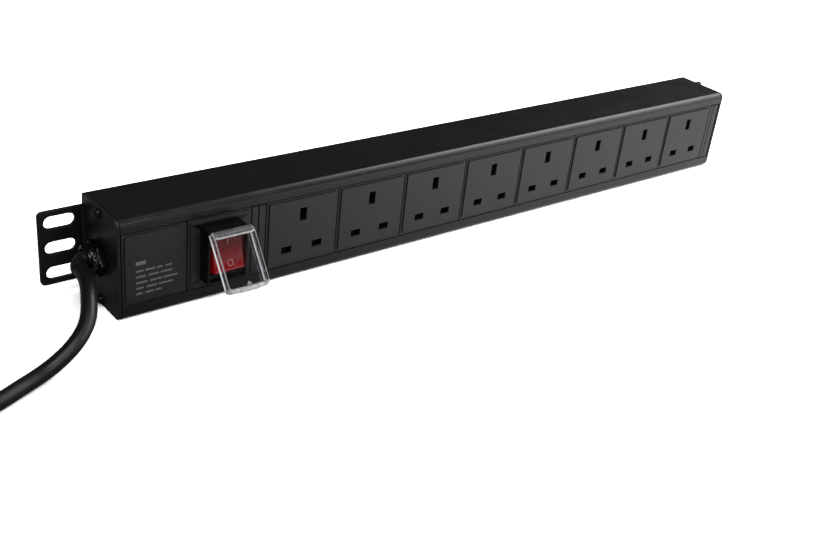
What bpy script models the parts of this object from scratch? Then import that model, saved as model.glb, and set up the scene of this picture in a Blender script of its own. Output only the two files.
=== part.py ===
"""Eight-way rack power strip with a 13 A plug lead, modelled as separate pieces.

Metres, +Z up. X runs along the strip, -Y is the side with the sockets, and the
origin is on the surface that the strip stands on, under the middle of its box.
Positions along Y are counted from the raised socket plates, which lie at PLATE_Y.
"""

import math

import bmesh
import bpy
from mathutils import Matrix, Vector

MM = 0.001

# --- driving dimensions -------------------------------------------------------
PLATE_Y = -4.68 * MM

BODY_LENGTH = 523.2 * MM  # over both end plates
BODY_HEIGHT = 62.5 * MM
BODY_FRONT = 0.4 * MM  # front lips, behind the plane of the socket plates
BODY_REAR = 44.6 * MM
FRONT_RADIUS = 4.0 * MM
REAR_RADIUS = 2.5 * MM
WALL = 1.8 * MM
OPENING_LOW, OPENING_HIGH = 8.5 * MM, 54.5 * MM
GROOVE_LOW, GROOVE_HIGH = 5.0 * MM, 58.0 * MM
GAP = 0.3 * MM

END_PLATE = 2.0 * MM
EAR_REACH = 26.8 * MM  # beyond the end plate
EAR_LOW, EAR_HIGH = 8.7 * MM, 55.1 * MM
EAR_SLOT_PITCH = 15.875 * MM
EAR_SLOT = (18.2 * MM, 7.7 * MM)
EAR_SLOT_MIDDLE = 14.2 * MM  # from the end plate's outer face
SCREW_Y = 22.6 * MM
SCREW_Z = (3.95 * MM, 58.55 * MM)
SCREW_HOLE = 1.55 * MM

SOCKET_PITCH = 52.0 * MM
SOCKET_COUNT = 8
FIRST_SOCKET_X = -140.8 * MM
PLATE_Z = 31.5 * MM  # middle of the modules
PLATE_HEIGHT = 42.0 * MM
MODULE_FACE = 0.8 * MM
FLANGE_FRONT, FLANGE_BACK = 2.7 * MM, 4.7 * MM
FLANGE_HEIGHT = 51.0 * MM
PIN_SPACING = 22.2 * MM  # live to neutral, and that line to earth
PIN_Z = 19.9 * MM
LINE_SLOT = (7.2 * MM, 4.5 * MM)
EARTH_SLOT = (4.8 * MM, 8.5 * MM)
SHUTTER_TRAVEL = 6.0 * MM

LABEL_SPAN = (-259.1 * MM, -218.9 * MM)
SWITCH_SPAN = (-218.9 * MM, -176.8 * MM)
FILLER_SPANS = {
    "filler_strip_left_outer": (-176.8 * MM, -172.05 * MM),
    "filler_strip_left_inner": (-172.05 * MM, -166.8 * MM),
    "filler_strip_right_inner": (249.2 * MM, 252.9 * MM),
    "filler_strip_right_outer": (252.9 * MM, 259.1 * MM),
}

SWITCH_X = -197.85 * MM
SWITCH_Z = 31.85 * MM
COLLAR = (26.2 * MM, 34.7 * MM)
COLLAR_WALL = 1.4 * MM
COLLAR_TOP_Y, COLLAR_LOW_Y = -9.8 * MM, -8.6 * MM
ROCKER_PIVOT_Y = -1.0 * MM
ROCKER_TILT = math.radians(11.0)
COVER_PIVOT = (-11.5 * MM, 47.8 * MM)
COVER_OPEN = math.radians(36.0)
COVER_HALF_WIDTH = 13.4 * MM

GLAND_Y, GLAND_Z = 22.3 * MM, 31.4 * MM
LEAD = 8.8 * MM  # outer diameter of the lead
COIL_CENTRE = (-398.8 * MM, 4.0 * MM)
COIL_RADIUS = 44.5 * MM
COIL_PITCH = 9.0 * MM

END_X = BODY_LENGTH / 2
INNER_X = END_X - END_PLATE


# --- scene and materials ------------------------------------------------------
for old in list(bpy.data.objects):
    bpy.data.objects.remove(old, do_unlink=True)


def material(name, colour, roughness, metallic=0.0, alpha=1.0):
    made = bpy.data.materials.new(name)
    made.use_nodes = True
    shader = made.node_tree.nodes["Principled BSDF"]
    shader.inputs["Base Color"].default_value = (*colour, 1.0)
    shader.inputs["Roughness"].default_value = roughness
    shader.inputs["Metallic"].default_value = metallic
    shader.inputs["Alpha"].default_value = alpha
    made.diffuse_color = (*colour, alpha)
    return made


ANODISED = material("black_anodised_aluminium", (0.028, 0.029, 0.032), 0.45, 0.6)
COATED = material("black_powder_coat", (0.020, 0.020, 0.022), 0.5, 0.1)
SCREW_BLACK = material("black_zinc_screw", (0.015, 0.015, 0.016), 0.3, 0.8)
MOULDED = material("charcoal_moulding", (0.045, 0.045, 0.050), 0.42)
INNER = material("black_inner_moulding", (0.012, 0.012, 0.013), 0.6)
ROCKER_RED = material("red_translucent_rocker", (0.52, 0.010, 0.020), 0.25)
CLEAR = material("clear_cover", (0.85, 0.88, 0.90), 0.06, 0.0, 0.35)
STEEL = material("steel_pin", (0.55, 0.55, 0.56), 0.3, 1.0)
BRASS = material("brass", (0.72, 0.52, 0.22), 0.3, 1.0)
RUBBER = material("black_rubber", (0.018, 0.018, 0.019), 0.6)
NYLON = material("black_nylon", (0.010, 0.010, 0.011), 0.22)
PVC = material("black_pvc_lead", (0.022, 0.023, 0.026), 0.38)
BROWN = material("brown_insulation", (0.16, 0.06, 0.02), 0.5)
BLUE = material("blue_insulation", (0.02, 0.09, 0.35), 0.5)
GREEN = material("green_yellow_insulation", (0.12, 0.35, 0.05), 0.5)

ROOT = bpy.data.objects.new("strip", None)
ROOT.location = (0.0, PLATE_Y, 0.0)
bpy.context.scene.collection.objects.link(ROOT)


# --- shape helpers ------------------------------------------------------------
def place(name, mesh, finish, location=(0.0, 0.0, 0.0), rotation=(0.0, 0.0, 0.0)):
    """Adds a mesh or curve as one named piece, parented to the strip."""
    obj = bpy.data.objects.new(name, mesh)
    if not mesh.materials:
        mesh.materials.append(finish)
    obj.location = location
    obj.rotation_euler = rotation
    obj.parent = ROOT
    bpy.context.scene.collection.objects.link(obj)
    return obj


def mesh_of(bm, name, sharp=30.0):
    bmesh.ops.remove_doubles(bm, verts=bm.verts, dist=1e-7)
    bmesh.ops.recalc_face_normals(bm, faces=bm.faces)
    mesh = bpy.data.meshes.new(name)
    bm.to_mesh(mesh)
    bm.free()
    mesh.shade_smooth()
    mesh.set_sharp_from_angle(angle=math.radians(sharp))
    return mesh


def joined(*shapes):
    """Puts separate shapes in one bmesh, for use as a cutter or an addition."""
    bm = bmesh.new()
    for shape in shapes:
        mesh = bpy.data.meshes.new("part")
        shape.to_mesh(mesh)
        shape.free()
        bm.from_mesh(mesh)
        bpy.data.meshes.remove(mesh)
    return bm


def boolean(base, tool, operation):
    """base with tool cut from it or added to it, by the exact solver."""
    pair = []
    for label, bm in (("base", base), ("tool", tool)):
        bmesh.ops.recalc_face_normals(bm, faces=bm.faces)
        mesh = bpy.data.meshes.new(label)
        bm.to_mesh(mesh)
        bm.free()
        obj = bpy.data.objects.new(label, mesh)
        bpy.context.scene.collection.objects.link(obj)
        pair.append(obj)
    modifier = pair[0].modifiers.new("cut", "BOOLEAN")
    modifier.operation = operation
    modifier.object = pair[1]
    graph = bpy.context.evaluated_depsgraph_get()
    graph.update()
    result = bpy.data.meshes.new_from_object(pair[0].evaluated_get(graph))
    bm = bmesh.new()
    bm.from_mesh(result)
    bpy.data.meshes.remove(result)
    for obj in pair:
        mesh = obj.data
        bpy.data.objects.remove(obj)
        bpy.data.meshes.remove(mesh)
    return bm


def cut(base, *tools):
    return boolean(base, joined(*tools), "DIFFERENCE")


def add(base, *tools):
    return boolean(base, joined(*tools), "UNION")


def loft(rings):
    """A closed solid through rings of equal length, with flat ends."""
    bm = bmesh.new()
    rows = [[bm.verts.new(point) for point in ring] for ring in rings]
    for low, high in zip(rows, rows[1:]):
        for i in range(len(low)):
            j = (i + 1) % len(low)
            bm.faces.new((low[i], low[j], high[j], high[i]))
    bm.faces.new(rows[0][::-1])
    bm.faces.new(rows[-1])
    bmesh.ops.recalc_face_normals(bm, faces=bm.faces)
    return bm


def prism(outline, low, high, axis):
    """An outline of (u, v) points extruded along an axis: X takes (y, z), Y takes (x, z) and Z takes (x, y)."""

    def point(u, v, w):
        return {"X": (w, u, v), "Y": (u, w, v), "Z": (u, v, w)}[axis]

    return loft([[point(u, v, w) for u, v in outline] for w in (low, high)])


def box(low, high):
    (x0, y0, z0), (x1, y1, z1) = low, high
    return prism([(x0, y0), (x1, y0), (x1, y1), (x0, y1)], z0, z1, "Z")


def arc(centre, radius, start, end, steps):
    """Points on an arc, angles in degrees, both ends included."""
    points = []
    for i in range(steps + 1):
        angle = math.radians(start + (end - start) * i / steps)
        points.append((centre[0] + radius * math.cos(angle), centre[1] + radius * math.sin(angle)))
    return points


def rounded(width, height, radius, steps=3, centre=(0.0, 0.0)):
    """A rectangle with round corners, about a centre."""
    u, v = width / 2 - radius, height / 2 - radius
    points = []
    for cu, cv, start in ((u, v, 0), (-u, v, 90), (-u, -v, 180), (u, -v, 270)):
        points += arc((centre[0] + cu, centre[1] + cv), radius, start, start + 90, steps)
    return points


def stadium(length, width, centre, steps=6):
    half = (length - width) / 2
    return arc((centre[0] + half, centre[1]), width / 2, -90, 90, steps) + arc(
        (centre[0] - half, centre[1]), width / 2, 90, 270, steps
    )


def circle(radius, steps, centre=(0.0, 0.0)):
    return arc(centre, radius, 0, 360 - 360 / steps, steps - 1)


def turned(profile, steps):
    """A solid turned about the X axis from (x, radius) points. A point of radius 0 closes that end, and a profile with none is a ring."""
    bm = bmesh.new()
    rows = []
    for x, radius in profile:
        if radius == 0:
            rows.append([bm.verts.new((x, 0.0, 0.0))] * steps)
        else:
            rows.append(
                [
                    bm.verts.new((x, radius * math.cos(a), radius * math.sin(a)))
                    for a in (2 * math.pi * i / steps for i in range(steps))
                ]
            )
    pairs = list(zip(rows, rows[1:]))
    if all(radius > 0 for _, radius in profile):
        pairs.append((rows[-1], rows[0]))
    for low, high in pairs:
        for i in range(steps):
            j = (i + 1) % steps
            corners = []
            for corner in (low[i], low[j], high[j], high[i]):
                if corner not in corners:
                    corners.append(corner)
            if len(corners) > 2:
                bm.faces.new(corners)
    bmesh.ops.recalc_face_normals(bm, faces=bm.faces)
    return bm


def spline(controls, samples):
    """A clamped cubic B-spline through a few control points, as evenly spaced points along its length."""
    count = len(controls)
    knots = [0.0] * 4 + [float(i) for i in range(1, count - 3)] + [float(count - 3)] * 4

    def value(t):
        span = 3
        while span < count - 1 and t >= knots[span + 1]:
            span += 1
        work = [Vector(controls[span - 3 + i]) for i in range(4)]
        for level in range(1, 4):
            for i in range(3, level - 1, -1):
                left = knots[span - 3 + i]
                right = knots[span + 1 + i - level]
                blend = 0.0 if right == left else (t - left) / (right - left)
                work[i] = work[i - 1].lerp(work[i], blend)
        return work[3]

    fine = [value((count - 3) * i / 400) for i in range(401)]
    lengths = [0.0]
    for a, b in zip(fine, fine[1:]):
        lengths.append(lengths[-1] + (b - a).length)
    points, k = [], 0
    for i in range(samples):
        wanted = lengths[-1] * i / (samples - 1)
        while k < 399 and lengths[k + 1] < wanted:
            k += 1
        step = lengths[k + 1] - lengths[k]
        points.append(fine[k].lerp(fine[k + 1], min(1.0, max(0.0, (wanted - lengths[k]) / step))))
    return points


def tube(name, points, radius, finish, resolution=2):
    """A round lead or wire along points, as a curve with filled ends."""
    curve = bpy.data.curves.new(name, "CURVE")
    curve.dimensions = "3D"
    curve.bevel_depth = radius
    curve.bevel_resolution = resolution
    curve.use_fill_caps = True
    line = curve.splines.new("POLY")
    line.points.add(len(points) - 1)
    for target, point in zip(line.points, points):
        target.co = (*point, 1.0)
    return place(name, curve, finish)


# --- aluminium housing --------------------------------------------------------
def screw_port(centre_z, sign):
    """The outline round one screw port, which hangs from the bottom wall (sign 1) or the top wall (sign -1), in order of rising y for the bottom and falling y for the top."""
    outer = 3.1 * MM
    wall_z = WALL if sign > 0 else BODY_HEIGHT - WALL
    root = math.degrees(math.asin(abs(wall_z - centre_z) / outer))
    centre = (SCREW_Y, centre_z)
    mouth = 32.0
    if sign > 0:
        return (
            arc(centre, outer, 180 + root, 90 + mouth, 4)
            + arc(centre, SCREW_HOLE, 90 + mouth, 450 - mouth, 11)
            + arc(centre, outer, 90 - mouth, -root, 4)
        )
    return (
        arc(centre, outer, root, -90 + mouth, 4)
        + arc(centre, SCREW_HOLE, -90 + mouth, 270 - mouth, 11)
        + arc(centre, outer, 270 - mouth, 180 - root, 4)
    )


def body_corners(steps=4):
    """The rounded outer corners, from the top front corner round the back to the bottom front corner."""
    f, r = FRONT_RADIUS, REAR_RADIUS
    return (
        arc((BODY_FRONT + f, BODY_HEIGHT - f), f, 180, 90, steps)
        + arc((BODY_REAR - r, BODY_HEIGHT - r), r, 90, 0, steps)
        + arc((BODY_REAR - r, r), r, 0, -90, steps)
        + arc((BODY_FRONT + f, f), f, -90, -180, steps)
    )


def housing():
    lip = BODY_FRONT + 1.9 * MM
    rail = (5.1 * MM, 6.3 * MM)
    back = BODY_REAR - WALL
    outline = [(BODY_FRONT, OPENING_HIGH)] + body_corners() + [(BODY_FRONT, OPENING_LOW)]
    outline += [(lip, OPENING_LOW), (lip, GROOVE_LOW), (rail[0], GROOVE_LOW)]
    outline += [(rail[0], 8.0 * MM), (rail[1], 8.0 * MM), (rail[1], WALL)]
    outline += screw_port(SCREW_Z[0], 1)
    outline += [(back, WALL), (back, BODY_HEIGHT - WALL)]
    outline += screw_port(SCREW_Z[1], -1)
    outline += [(rail[1], BODY_HEIGHT - WALL), (rail[1], 55.0 * MM), (rail[0], 55.0 * MM)]
    outline += [(rail[0], GROOVE_HIGH), (lip, GROOVE_HIGH), (lip, OPENING_HIGH)]
    half = INNER_X - GAP
    place("housing_extrusion", mesh_of(prism(outline, -half, half, "X"), "housing"), ANODISED)


# --- end brackets and their screws -------------------------------------------
def end_bracket(name, side):
    """An end plate bent back into a slotted rack ear. side is -1 on the left and 1 on the right."""
    plate = prism(body_corners(), side * INNER_X, side * END_X, "X")
    tip = END_X + EAR_REACH
    low = (END_X - 1.0 * MM, EAR_LOW)
    radius = 3.0 * MM
    ear = [(side * low[0], EAR_LOW)]
    ear += [
        (side * u, v)
        for u, v in arc((tip - radius, EAR_LOW + radius), radius, -90, 0, 4)
        + arc((tip - radius, EAR_HIGH - radius), radius, 0, 90, 4)
    ]
    ear += [(side * low[0], EAR_HIGH)]
    shape = add(plate, prism(ear, BODY_REAR - END_PLATE, BODY_REAR, "Y"))
    middle = (EAR_LOW + EAR_HIGH) / 2
    cutters = [
        prism(
            stadium(*EAR_SLOT, (side * (END_X + EAR_SLOT_MIDDLE), middle + k * EAR_SLOT_PITCH)),
            BODY_REAR - 5 * MM,
            BODY_REAR + 3 * MM,
            "Y",
        )
        for k in (-1, 0, 1)
    ]
    cutters += [
        prism(circle(1.7 * MM, 12, (SCREW_Y, z)), side * (INNER_X - 3 * MM), side * (END_X + 3 * MM), "X")
        for z in SCREW_Z
    ]
    if side < 0:
        cutters.append(
            prism(circle(8.3 * MM, 24, (GLAND_Y, GLAND_Z)), side * (INNER_X - 3 * MM), side * (END_X + 3 * MM), "X")
        )
    place(name, mesh_of(cut(shape, *cutters), name), COATED)


def end_screws():
    """Pan-head screws. The mesh points its head along -X, and its origin is under the head."""
    profile = [
        (-2.1 * MM, 0.0),
        (-2.1 * MM, 1.2 * MM),
        (-1.6 * MM, 2.3 * MM),
        (-0.8 * MM, 2.9 * MM),
        (0.0, 3.0 * MM),
        (0.0, 1.2 * MM),
        (11.0 * MM, 1.2 * MM),
        (12.0 * MM, 0.0),
    ]
    mesh = mesh_of(turned(profile, 14), "end_screw")
    for side, label in ((-1, "left"), (1, "right")):
        for z, level in zip(SCREW_Z, ("lower", "upper")):
            place(
                f"end_screw_{label}_{level}",
                mesh,
                SCREW_BLACK,
                (side * (END_X + GAP), SCREW_Y, z),
                (0.0, 0.0, 0.0 if side < 0 else math.pi),
            )


# --- front modules ------------------------------------------------------------
def module_plate(width, inset=1.9 * MM):
    """A module's front: a raised plate on a face, with the flange that slides in the housing's grooves. Its origin is the middle of the raised plate."""
    face = width - GAP
    plate = face - 2 * inset + GAP
    edge = 0.35 * MM

    def ring(w, h, y, radius):
        return [(u, y, v) for u, v in rounded(w, h, radius, 2)]

    return loft(
        [
            ring(plate - 2 * edge, PLATE_HEIGHT - 2 * edge, 0.0, 1.2 * MM),
            ring(plate, PLATE_HEIGHT, edge, 1.5 * MM),
            ring(plate, PLATE_HEIGHT, MODULE_FACE, 1.5 * MM),
            ring(face, 45.4 * MM, MODULE_FACE, 0.3 * MM),
            ring(face, 45.4 * MM, FLANGE_FRONT, 0.3 * MM),
            ring(face - 0.5 * MM, FLANGE_HEIGHT, FLANGE_FRONT, 0.3 * MM),
            ring(face - 0.5 * MM, FLANGE_HEIGHT, FLANGE_BACK, 0.3 * MM),
        ]
    )


def middle_of(span):
    return (span[0] + span[1]) / 2


def label_module():
    place(
        "label_module",
        mesh_of(module_plate(LABEL_SPAN[1] - LABEL_SPAN[0]), "label_module"),
        MOULDED,
        (middle_of(LABEL_SPAN), 0.0, PLATE_Z),
    )


def filler_strips():
    for name, span in FILLER_SPANS.items():
        face = span[1] - span[0] - GAP

        def ring(height, y, inset=0.0):
            return [(u, y, v) for u, v in rounded(face - 2 * inset, height, 0.3 * MM, 2)]

        shape = loft(
            [
                ring(45.4 * MM, MODULE_FACE),
                ring(45.4 * MM, FLANGE_FRONT),
                ring(FLANGE_HEIGHT, FLANGE_FRONT, 0.25 * MM),
                ring(FLANGE_HEIGHT, FLANGE_BACK, 0.25 * MM),
            ]
        )
        place(name, mesh_of(shape, name), MOULDED, (middle_of(span), 0.0, PLATE_Z))


def slot_cutters(grow=0.0, low=-3.0 * MM, high=8.0 * MM):
    """The three pin apertures, about the middle of a socket plate."""
    cutters = []
    for x, z, (width, height) in (
        (-PIN_SPACING / 2, PIN_Z - PLATE_Z, LINE_SLOT),
        (PIN_SPACING / 2, PIN_Z - PLATE_Z, LINE_SLOT),
        (0.0, PIN_Z + PIN_SPACING - PLATE_Z, EARTH_SLOT),
    ):
        w, h = width / 2 + grow, height / 2 + grow
        cutters.append(box((x - w, low, z - h), (x + w, high, z + h)))
    return cutters


def socket_x(index):
    return FIRST_SOCKET_X + index * SOCKET_PITCH


def sockets():
    face = mesh_of(cut(module_plate(SOCKET_PITCH), *slot_cutters()), "socket_face")

    # The shutter: two blades behind the live and neutral apertures, a stem, and the
    # ramp that the longer earth pin pushes down. Its origin is between the blades.
    blade = 3.5 * MM
    front, back = 5.0 * MM, 6.6 * MM
    wing, stem = 15.6 * MM, 3.0 * MM
    top = 37.2 * MM - PIN_Z
    outline = [(-wing, -blade), (wing, -blade), (wing, blade), (stem, blade), (stem, top)]
    outline += [(-stem, top), (-stem, blade), (-wing, blade)]
    ramp = [
        (6.0 * MM, 12.5 * MM),
        (16.5 * MM, 18.5 * MM),
        (16.5 * MM, 24.0 * MM),
        (15.0 * MM, 24.0 * MM),
        (8.4 * MM, 17.2 * MM),
        (6.0 * MM, 17.0 * MM),
    ]
    shutter = mesh_of(
        add(prism(outline, front, back, "Y"), prism(ramp, -1.9 * MM, 1.9 * MM, "X")), "socket_shutter"
    )

    # The base: a block with a well for the live and neutral contacts and one for the
    # earth contact and the ramp, all open to the front and to the busbars behind.
    wells = []
    for side in (-1, 1):
        middle = side * PIN_SPACING / 2
        wells.append(box((middle - 4.5 * MM, 4 * MM, 13.5 * MM), (middle + 4.5 * MM, 30 * MM, 26.2 * MM)))
    wells.append(box((-4.5 * MM, 4 * MM, 26.8 * MM), (4.5 * MM, 30 * MM, 48.5 * MM)))
    block = prism(rounded(49.0 * MM, 44.4 * MM, 1.0 * MM, 2, (0.0, PLATE_Z)), 6.9 * MM, 24.5 * MM, "Y")
    base = mesh_of(cut(block, *wells), "socket_base")

    for index in range(SOCKET_COUNT):
        x = socket_x(index)
        place(f"socket_face_{index + 1}", face, MOULDED, (x, 0.0, PLATE_Z))
        place(f"socket_shutter_{index + 1}", shutter, INNER, (x, 0.0, PIN_Z))
        place(f"socket_base_{index + 1}", base, INNER, (x, 0.0, 0.0))


# --- busbars ------------------------------------------------------------------
def busbars():
    """Live, neutral and earth strips behind the sockets, each with a sleeve for every pin."""
    start = SWITCH_SPAN[1] + 2 * MM
    end = socket_x(SOCKET_COUNT - 1) + 22 * MM
    bar_y = (24.8 * MM, 26.0 * MM)
    specs = {
        "busbar_live": (PIN_SPACING / 2, (12.4 * MM, 17.2 * MM), (13.9 * MM, 17.9 * MM)),
        "busbar_neutral": (-PIN_SPACING / 2, (22.6 * MM, 27.4 * MM), (22.0 * MM, 25.8 * MM)),
    }
    for name, (offset, bar, arm) in specs.items():
        sleeves, arms, holes = [], [], []
        for index in range(SOCKET_COUNT):
            x = socket_x(index) + offset
            sleeves.append(
                box((x - 4.1 * MM, 11 * MM, PIN_Z - 3.3 * MM), (x + 4.1 * MM, 23.4 * MM, PIN_Z + 3.3 * MM))
            )
            arms.append(box((x - 2.5 * MM, 21.5 * MM, arm[0]), (x + 2.5 * MM, 25.4 * MM, arm[1])))
            holes.append(
                box((x - 3.3 * MM, 8 * MM, PIN_Z - 2.1 * MM), (x + 3.3 * MM, 20.5 * MM, PIN_Z + 2.1 * MM))
            )
        strip = box((start, bar_y[0], bar[0]), (end, bar_y[1], bar[1]))
        shape = cut(add(add(strip, *arms), *sleeves), *holes)
        place(name, mesh_of(shape, name), BRASS)
    sleeves, holes = [], []
    for index in range(SOCKET_COUNT):
        x, z = socket_x(index), PIN_Z + PIN_SPACING
        sleeves.append(box((x - 3.2 * MM, 17.5 * MM, z - 5.3 * MM), (x + 3.2 * MM, 25.4 * MM, z + 5.3 * MM)))
        holes.append(box((x - 2.1 * MM, 15 * MM, z - 4.1 * MM), (x + 2.1 * MM, 24.2 * MM, z + 4.1 * MM)))
    strip = box((start, bar_y[0], 44.6 * MM), (end, bar_y[1], 49.6 * MM))
    place("busbar_earth", mesh_of(cut(add(strip, *sleeves), *holes), "busbar_earth"), BRASS)


# --- switch module, rocker and clear cover -----------------------------------
def switch_module():
    plate = module_plate(SWITCH_SPAN[1] - SWITCH_SPAN[0])
    dx = SWITCH_X - middle_of(SWITCH_SPAN)
    dz = SWITCH_Z - PLATE_Z
    half_w, half_h = COLLAR[0] / 2, COLLAR[1] / 2
    collar = prism(
        [
            (MODULE_FACE + 0.4 * MM, dz - half_h),
            (COLLAR_LOW_Y, dz - half_h),
            (COLLAR_TOP_Y, dz + half_h),
            (MODULE_FACE + 0.4 * MM, dz + half_h),
        ],
        dx - half_w,
        dx + half_w,
        "X",
    )
    pocket_w, pocket_h = half_w - COLLAR_WALL, half_h - COLLAR_WALL
    pocket = box(
        (dx - pocket_w, -15 * MM, dz - pocket_h), (dx + pocket_w, -3.7 * MM, dz + pocket_h)
    )
    through = box(
        (dx - 11.4 * MM, -4.5 * MM, dz - 14.1 * MM), (dx + 11.4 * MM, 8 * MM, dz + 14.1 * MM)
    )
    shape = cut(cut(add(plate, collar), pocket), through)
    pivot = (COVER_PIVOT[0], COVER_PIVOT[1] - PLATE_Z)
    lug = [(-9.0 * MM, pivot[1] - 1.5 * MM)] + arc(pivot, 1.6 * MM, -90, -270, 8)
    lug += [(-9.0 * MM, dz + half_h - 0.1 * MM)]
    lugs = [
        prism(lug, dx + side * 10.6 * MM, dx + side * 12.1 * MM, "X") for side in (-1, 1)
    ]
    bore = prism(circle(0.95 * MM, 10, pivot), dx - 12.4 * MM, dx + 12.4 * MM, "X")
    shape = cut(add(shape, *lugs), bore)
    place("switch_module", mesh_of(shape, "switch_module"), MOULDED, (middle_of(SWITCH_SPAN), 0.0, PLATE_Z))


def switch_body():
    """The switch behind the rocker: a bezel that rests on the collar's ledge and a box behind it. Its origin is on the switch's middle line."""
    bezel = prism(rounded(23.0 * MM, 31.5 * MM, 0.8 * MM, 2), -5.6 * MM, -4.0 * MM, "Y")
    case = box((-11.1 * MM, -4.8 * MM, -13.8 * MM), (11.1 * MM, 17.0 * MM, 13.8 * MM))
    well = box((-10.35 * MM, -8 * MM, -12.6 * MM), (10.35 * MM, 4.5 * MM, 12.6 * MM))
    shape = cut(add(bezel, case), well)
    place("switch_body", mesh_of(shape, "switch_body"), INNER, (SWITCH_X, 0.0, SWITCH_Z))


def rocker():
    """Level rocker about its pivot, then tilted to its on position with the lower half out."""
    front = []
    for i in range(9):
        z = (-10.0 + 20.0 * i / 8) * MM
        dish = 1.0 - (z / (10.0 * MM)) ** 2
        front.append((-9.26 * MM + 0.9 * MM * dish, z))
    outline = front + [
        (-8.6 * MM, 10.5 * MM),
        (-4.6 * MM, 11.2 * MM),
        (-1.0 * MM, 12.05 * MM),
        (1.5 * MM, 11.9 * MM),
        (3.0 * MM, 9.0 * MM),
        (3.0 * MM, -9.0 * MM),
        (1.5 * MM, -11.9 * MM),
        (-1.0 * MM, -12.05 * MM),
        (-4.6 * MM, -11.2 * MM),
        (-8.6 * MM, -10.5 * MM),
    ]
    shape = prism(outline, -10.0 * MM, 10.0 * MM, "X")
    place(
        "power_rocker",
        mesh_of(shape, "power_rocker"),
        ROCKER_RED,
        (SWITCH_X, ROCKER_PIVOT_Y, SWITCH_Z),
        (-ROCKER_TILT, 0.0, 0.0),
    )


def switch_cover():
    """A clear tray hinged on a pin at its top. The mesh is the closed tray about the pin, and the piece hangs part open."""
    w = COVER_HALF_WIDTH
    front, rear = -4.3 * MM, 1.4 * MM
    low = -33.3 * MM
    r = 3.2 * MM
    wall = 1.0 * MM

    def crown(inset, end):
        """The long curve at the top, from the front face back."""
        points = []
        for i in range(7):
            turn = math.radians(end) * i / 6
            y = front + inset + (4.2 * MM - inset) * (1 - math.cos(turn))
            points.append((y, -3.4 * MM + (5.9 * MM - inset) * math.sin(turn)))
        return points

    outer = crown(0.0, 67.0)
    outer += arc((0.0, 0.0), 1.65 * MM, 120, 10, 5)
    outer += [(rear, 0.0), (rear, low)]
    outer += arc((front + r, low + r), r, 270, 180, 5)
    inner = crown(wall, 80.0)
    inner += [(4 * MM, 1.5 * MM), (4 * MM, low + wall)]
    inner += arc((front + r, low + r), r - wall, 270, 180, 4)
    shape = prism(outer, -w, w, "X")
    tab = prism(rounded(12.0 * MM, 3.2 * MM, 0.7 * MM, 3, (0.0, low + 0.9 * MM)), front + 0.6 * MM, front + 2.4 * MM, "Y")
    shape = add(shape, tab)
    hollow = prism(inner, -w + wall, w - wall, "X")
    relief = box((-w + wall, -1.8 * MM, -0.5 * MM), (w - wall, 4 * MM, 4 * MM))
    shape = cut(cut(shape, hollow), relief)
    shape = cut(shape, prism(circle(0.95 * MM, 10), -w - 2 * MM, w + 2 * MM, "X"))
    place(
        "switch_cover",
        mesh_of(shape, "switch_cover"),
        CLEAR,
        (SWITCH_X, *COVER_PIVOT),
        (-COVER_OPEN, 0.0, 0.0),
    )
    pin = prism(circle(0.65 * MM, 10), -13.2 * MM, 13.2 * MM, "X")
    place("cover_hinge_pin", mesh_of(pin, "cover_hinge_pin"), STEEL, (SWITCH_X, *COVER_PIVOT))


# --- cable gland --------------------------------------------------------------
BOOT_START = Vector((-269.1 * MM, GLAND_Y, GLAND_Z))
BOOT_BEND = 7.7 * MM
BOOT_TURN = math.radians(88.0)
BOOT_DROOP = math.radians(3.6)


def gland():
    steps = 24
    at = (0.0, GLAND_Y, GLAND_Z)
    hexagon = prism(arc((0.0, 0.0), 10.9 * MM, 30, 330, 5), -266.4 * MM, -261.9 * MM, "X")
    thread = prism(circle(7.9 * MM, steps), -268.7 * MM, -252.5 * MM, "X")
    bore = prism(circle(6.6 * MM, steps), -280 * MM, -245 * MM, "X")
    place("gland_body", mesh_of(cut(add(hexagon, thread), bore), "gland_body"), NYLON, at)
    nut = prism(arc((0.0, 0.0), 11.0 * MM, 0, 300, 5), -259.3 * MM, -255.0 * MM, "X")
    nut = cut(nut, prism(circle(8.25 * MM, steps), -262 * MM, -252 * MM, "X"))
    place("gland_locknut", mesh_of(nut, "gland_locknut"), NYLON, at)
    profile = [
        (-266.7 * MM, 8.25 * MM),
        (-266.7 * MM, 9.6 * MM),
        (-269.0 * MM, 9.6 * MM),
        (-270.6 * MM, 9.0 * MM),
        (-271.6 * MM, 7.7 * MM),
        (-271.6 * MM, 6.55 * MM),
        (-269.3 * MM, 6.55 * MM),
        (-269.1 * MM, 8.25 * MM),
    ]
    place("gland_dome_nut", mesh_of(turned(profile, steps), "gland_dome_nut"), NYLON, at)


def boot_line(steps=9):
    """The bent strain relief's middle line, and its direction at the end."""
    out = Vector((-1.0, 0.0, 0.0))
    side = Vector((0.0, -math.cos(BOOT_DROOP), -math.sin(BOOT_DROOP)))
    points = []
    for i in range(steps + 1):
        angle = BOOT_TURN * i / steps
        points.append(BOOT_START + BOOT_BEND * (math.sin(angle) * out + (1 - math.cos(angle)) * side))
    return points, math.cos(BOOT_TURN) * out + math.sin(BOOT_TURN) * side


def strain_relief():
    """A tapered rubber boot that turns the lead forward and down as it leaves the gland."""
    points, _ = boot_line()
    out = Vector((-1.0, 0.0, 0.0))
    side = Vector((0.0, -math.cos(BOOT_DROOP), -math.sin(BOOT_DROOP)))
    up = out.cross(side)
    rings = []
    for i, point in enumerate(points):
        share = i / (len(points) - 1)
        angle = BOOT_TURN * share
        across = math.cos(angle) * side - math.sin(angle) * out
        radius = (4.8 + 1.4 * max(0.0, 1.0 - share / 0.45)) * MM
        rings.append(
            [
                point + radius * (math.cos(a) * across + math.sin(a) * up)
                for a in (2 * math.pi * k / 14 for k in range(14))
            ]
        )
    place("strain_relief_boot", mesh_of(loft(rings), "strain_relief_boot"), RUBBER)


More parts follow.
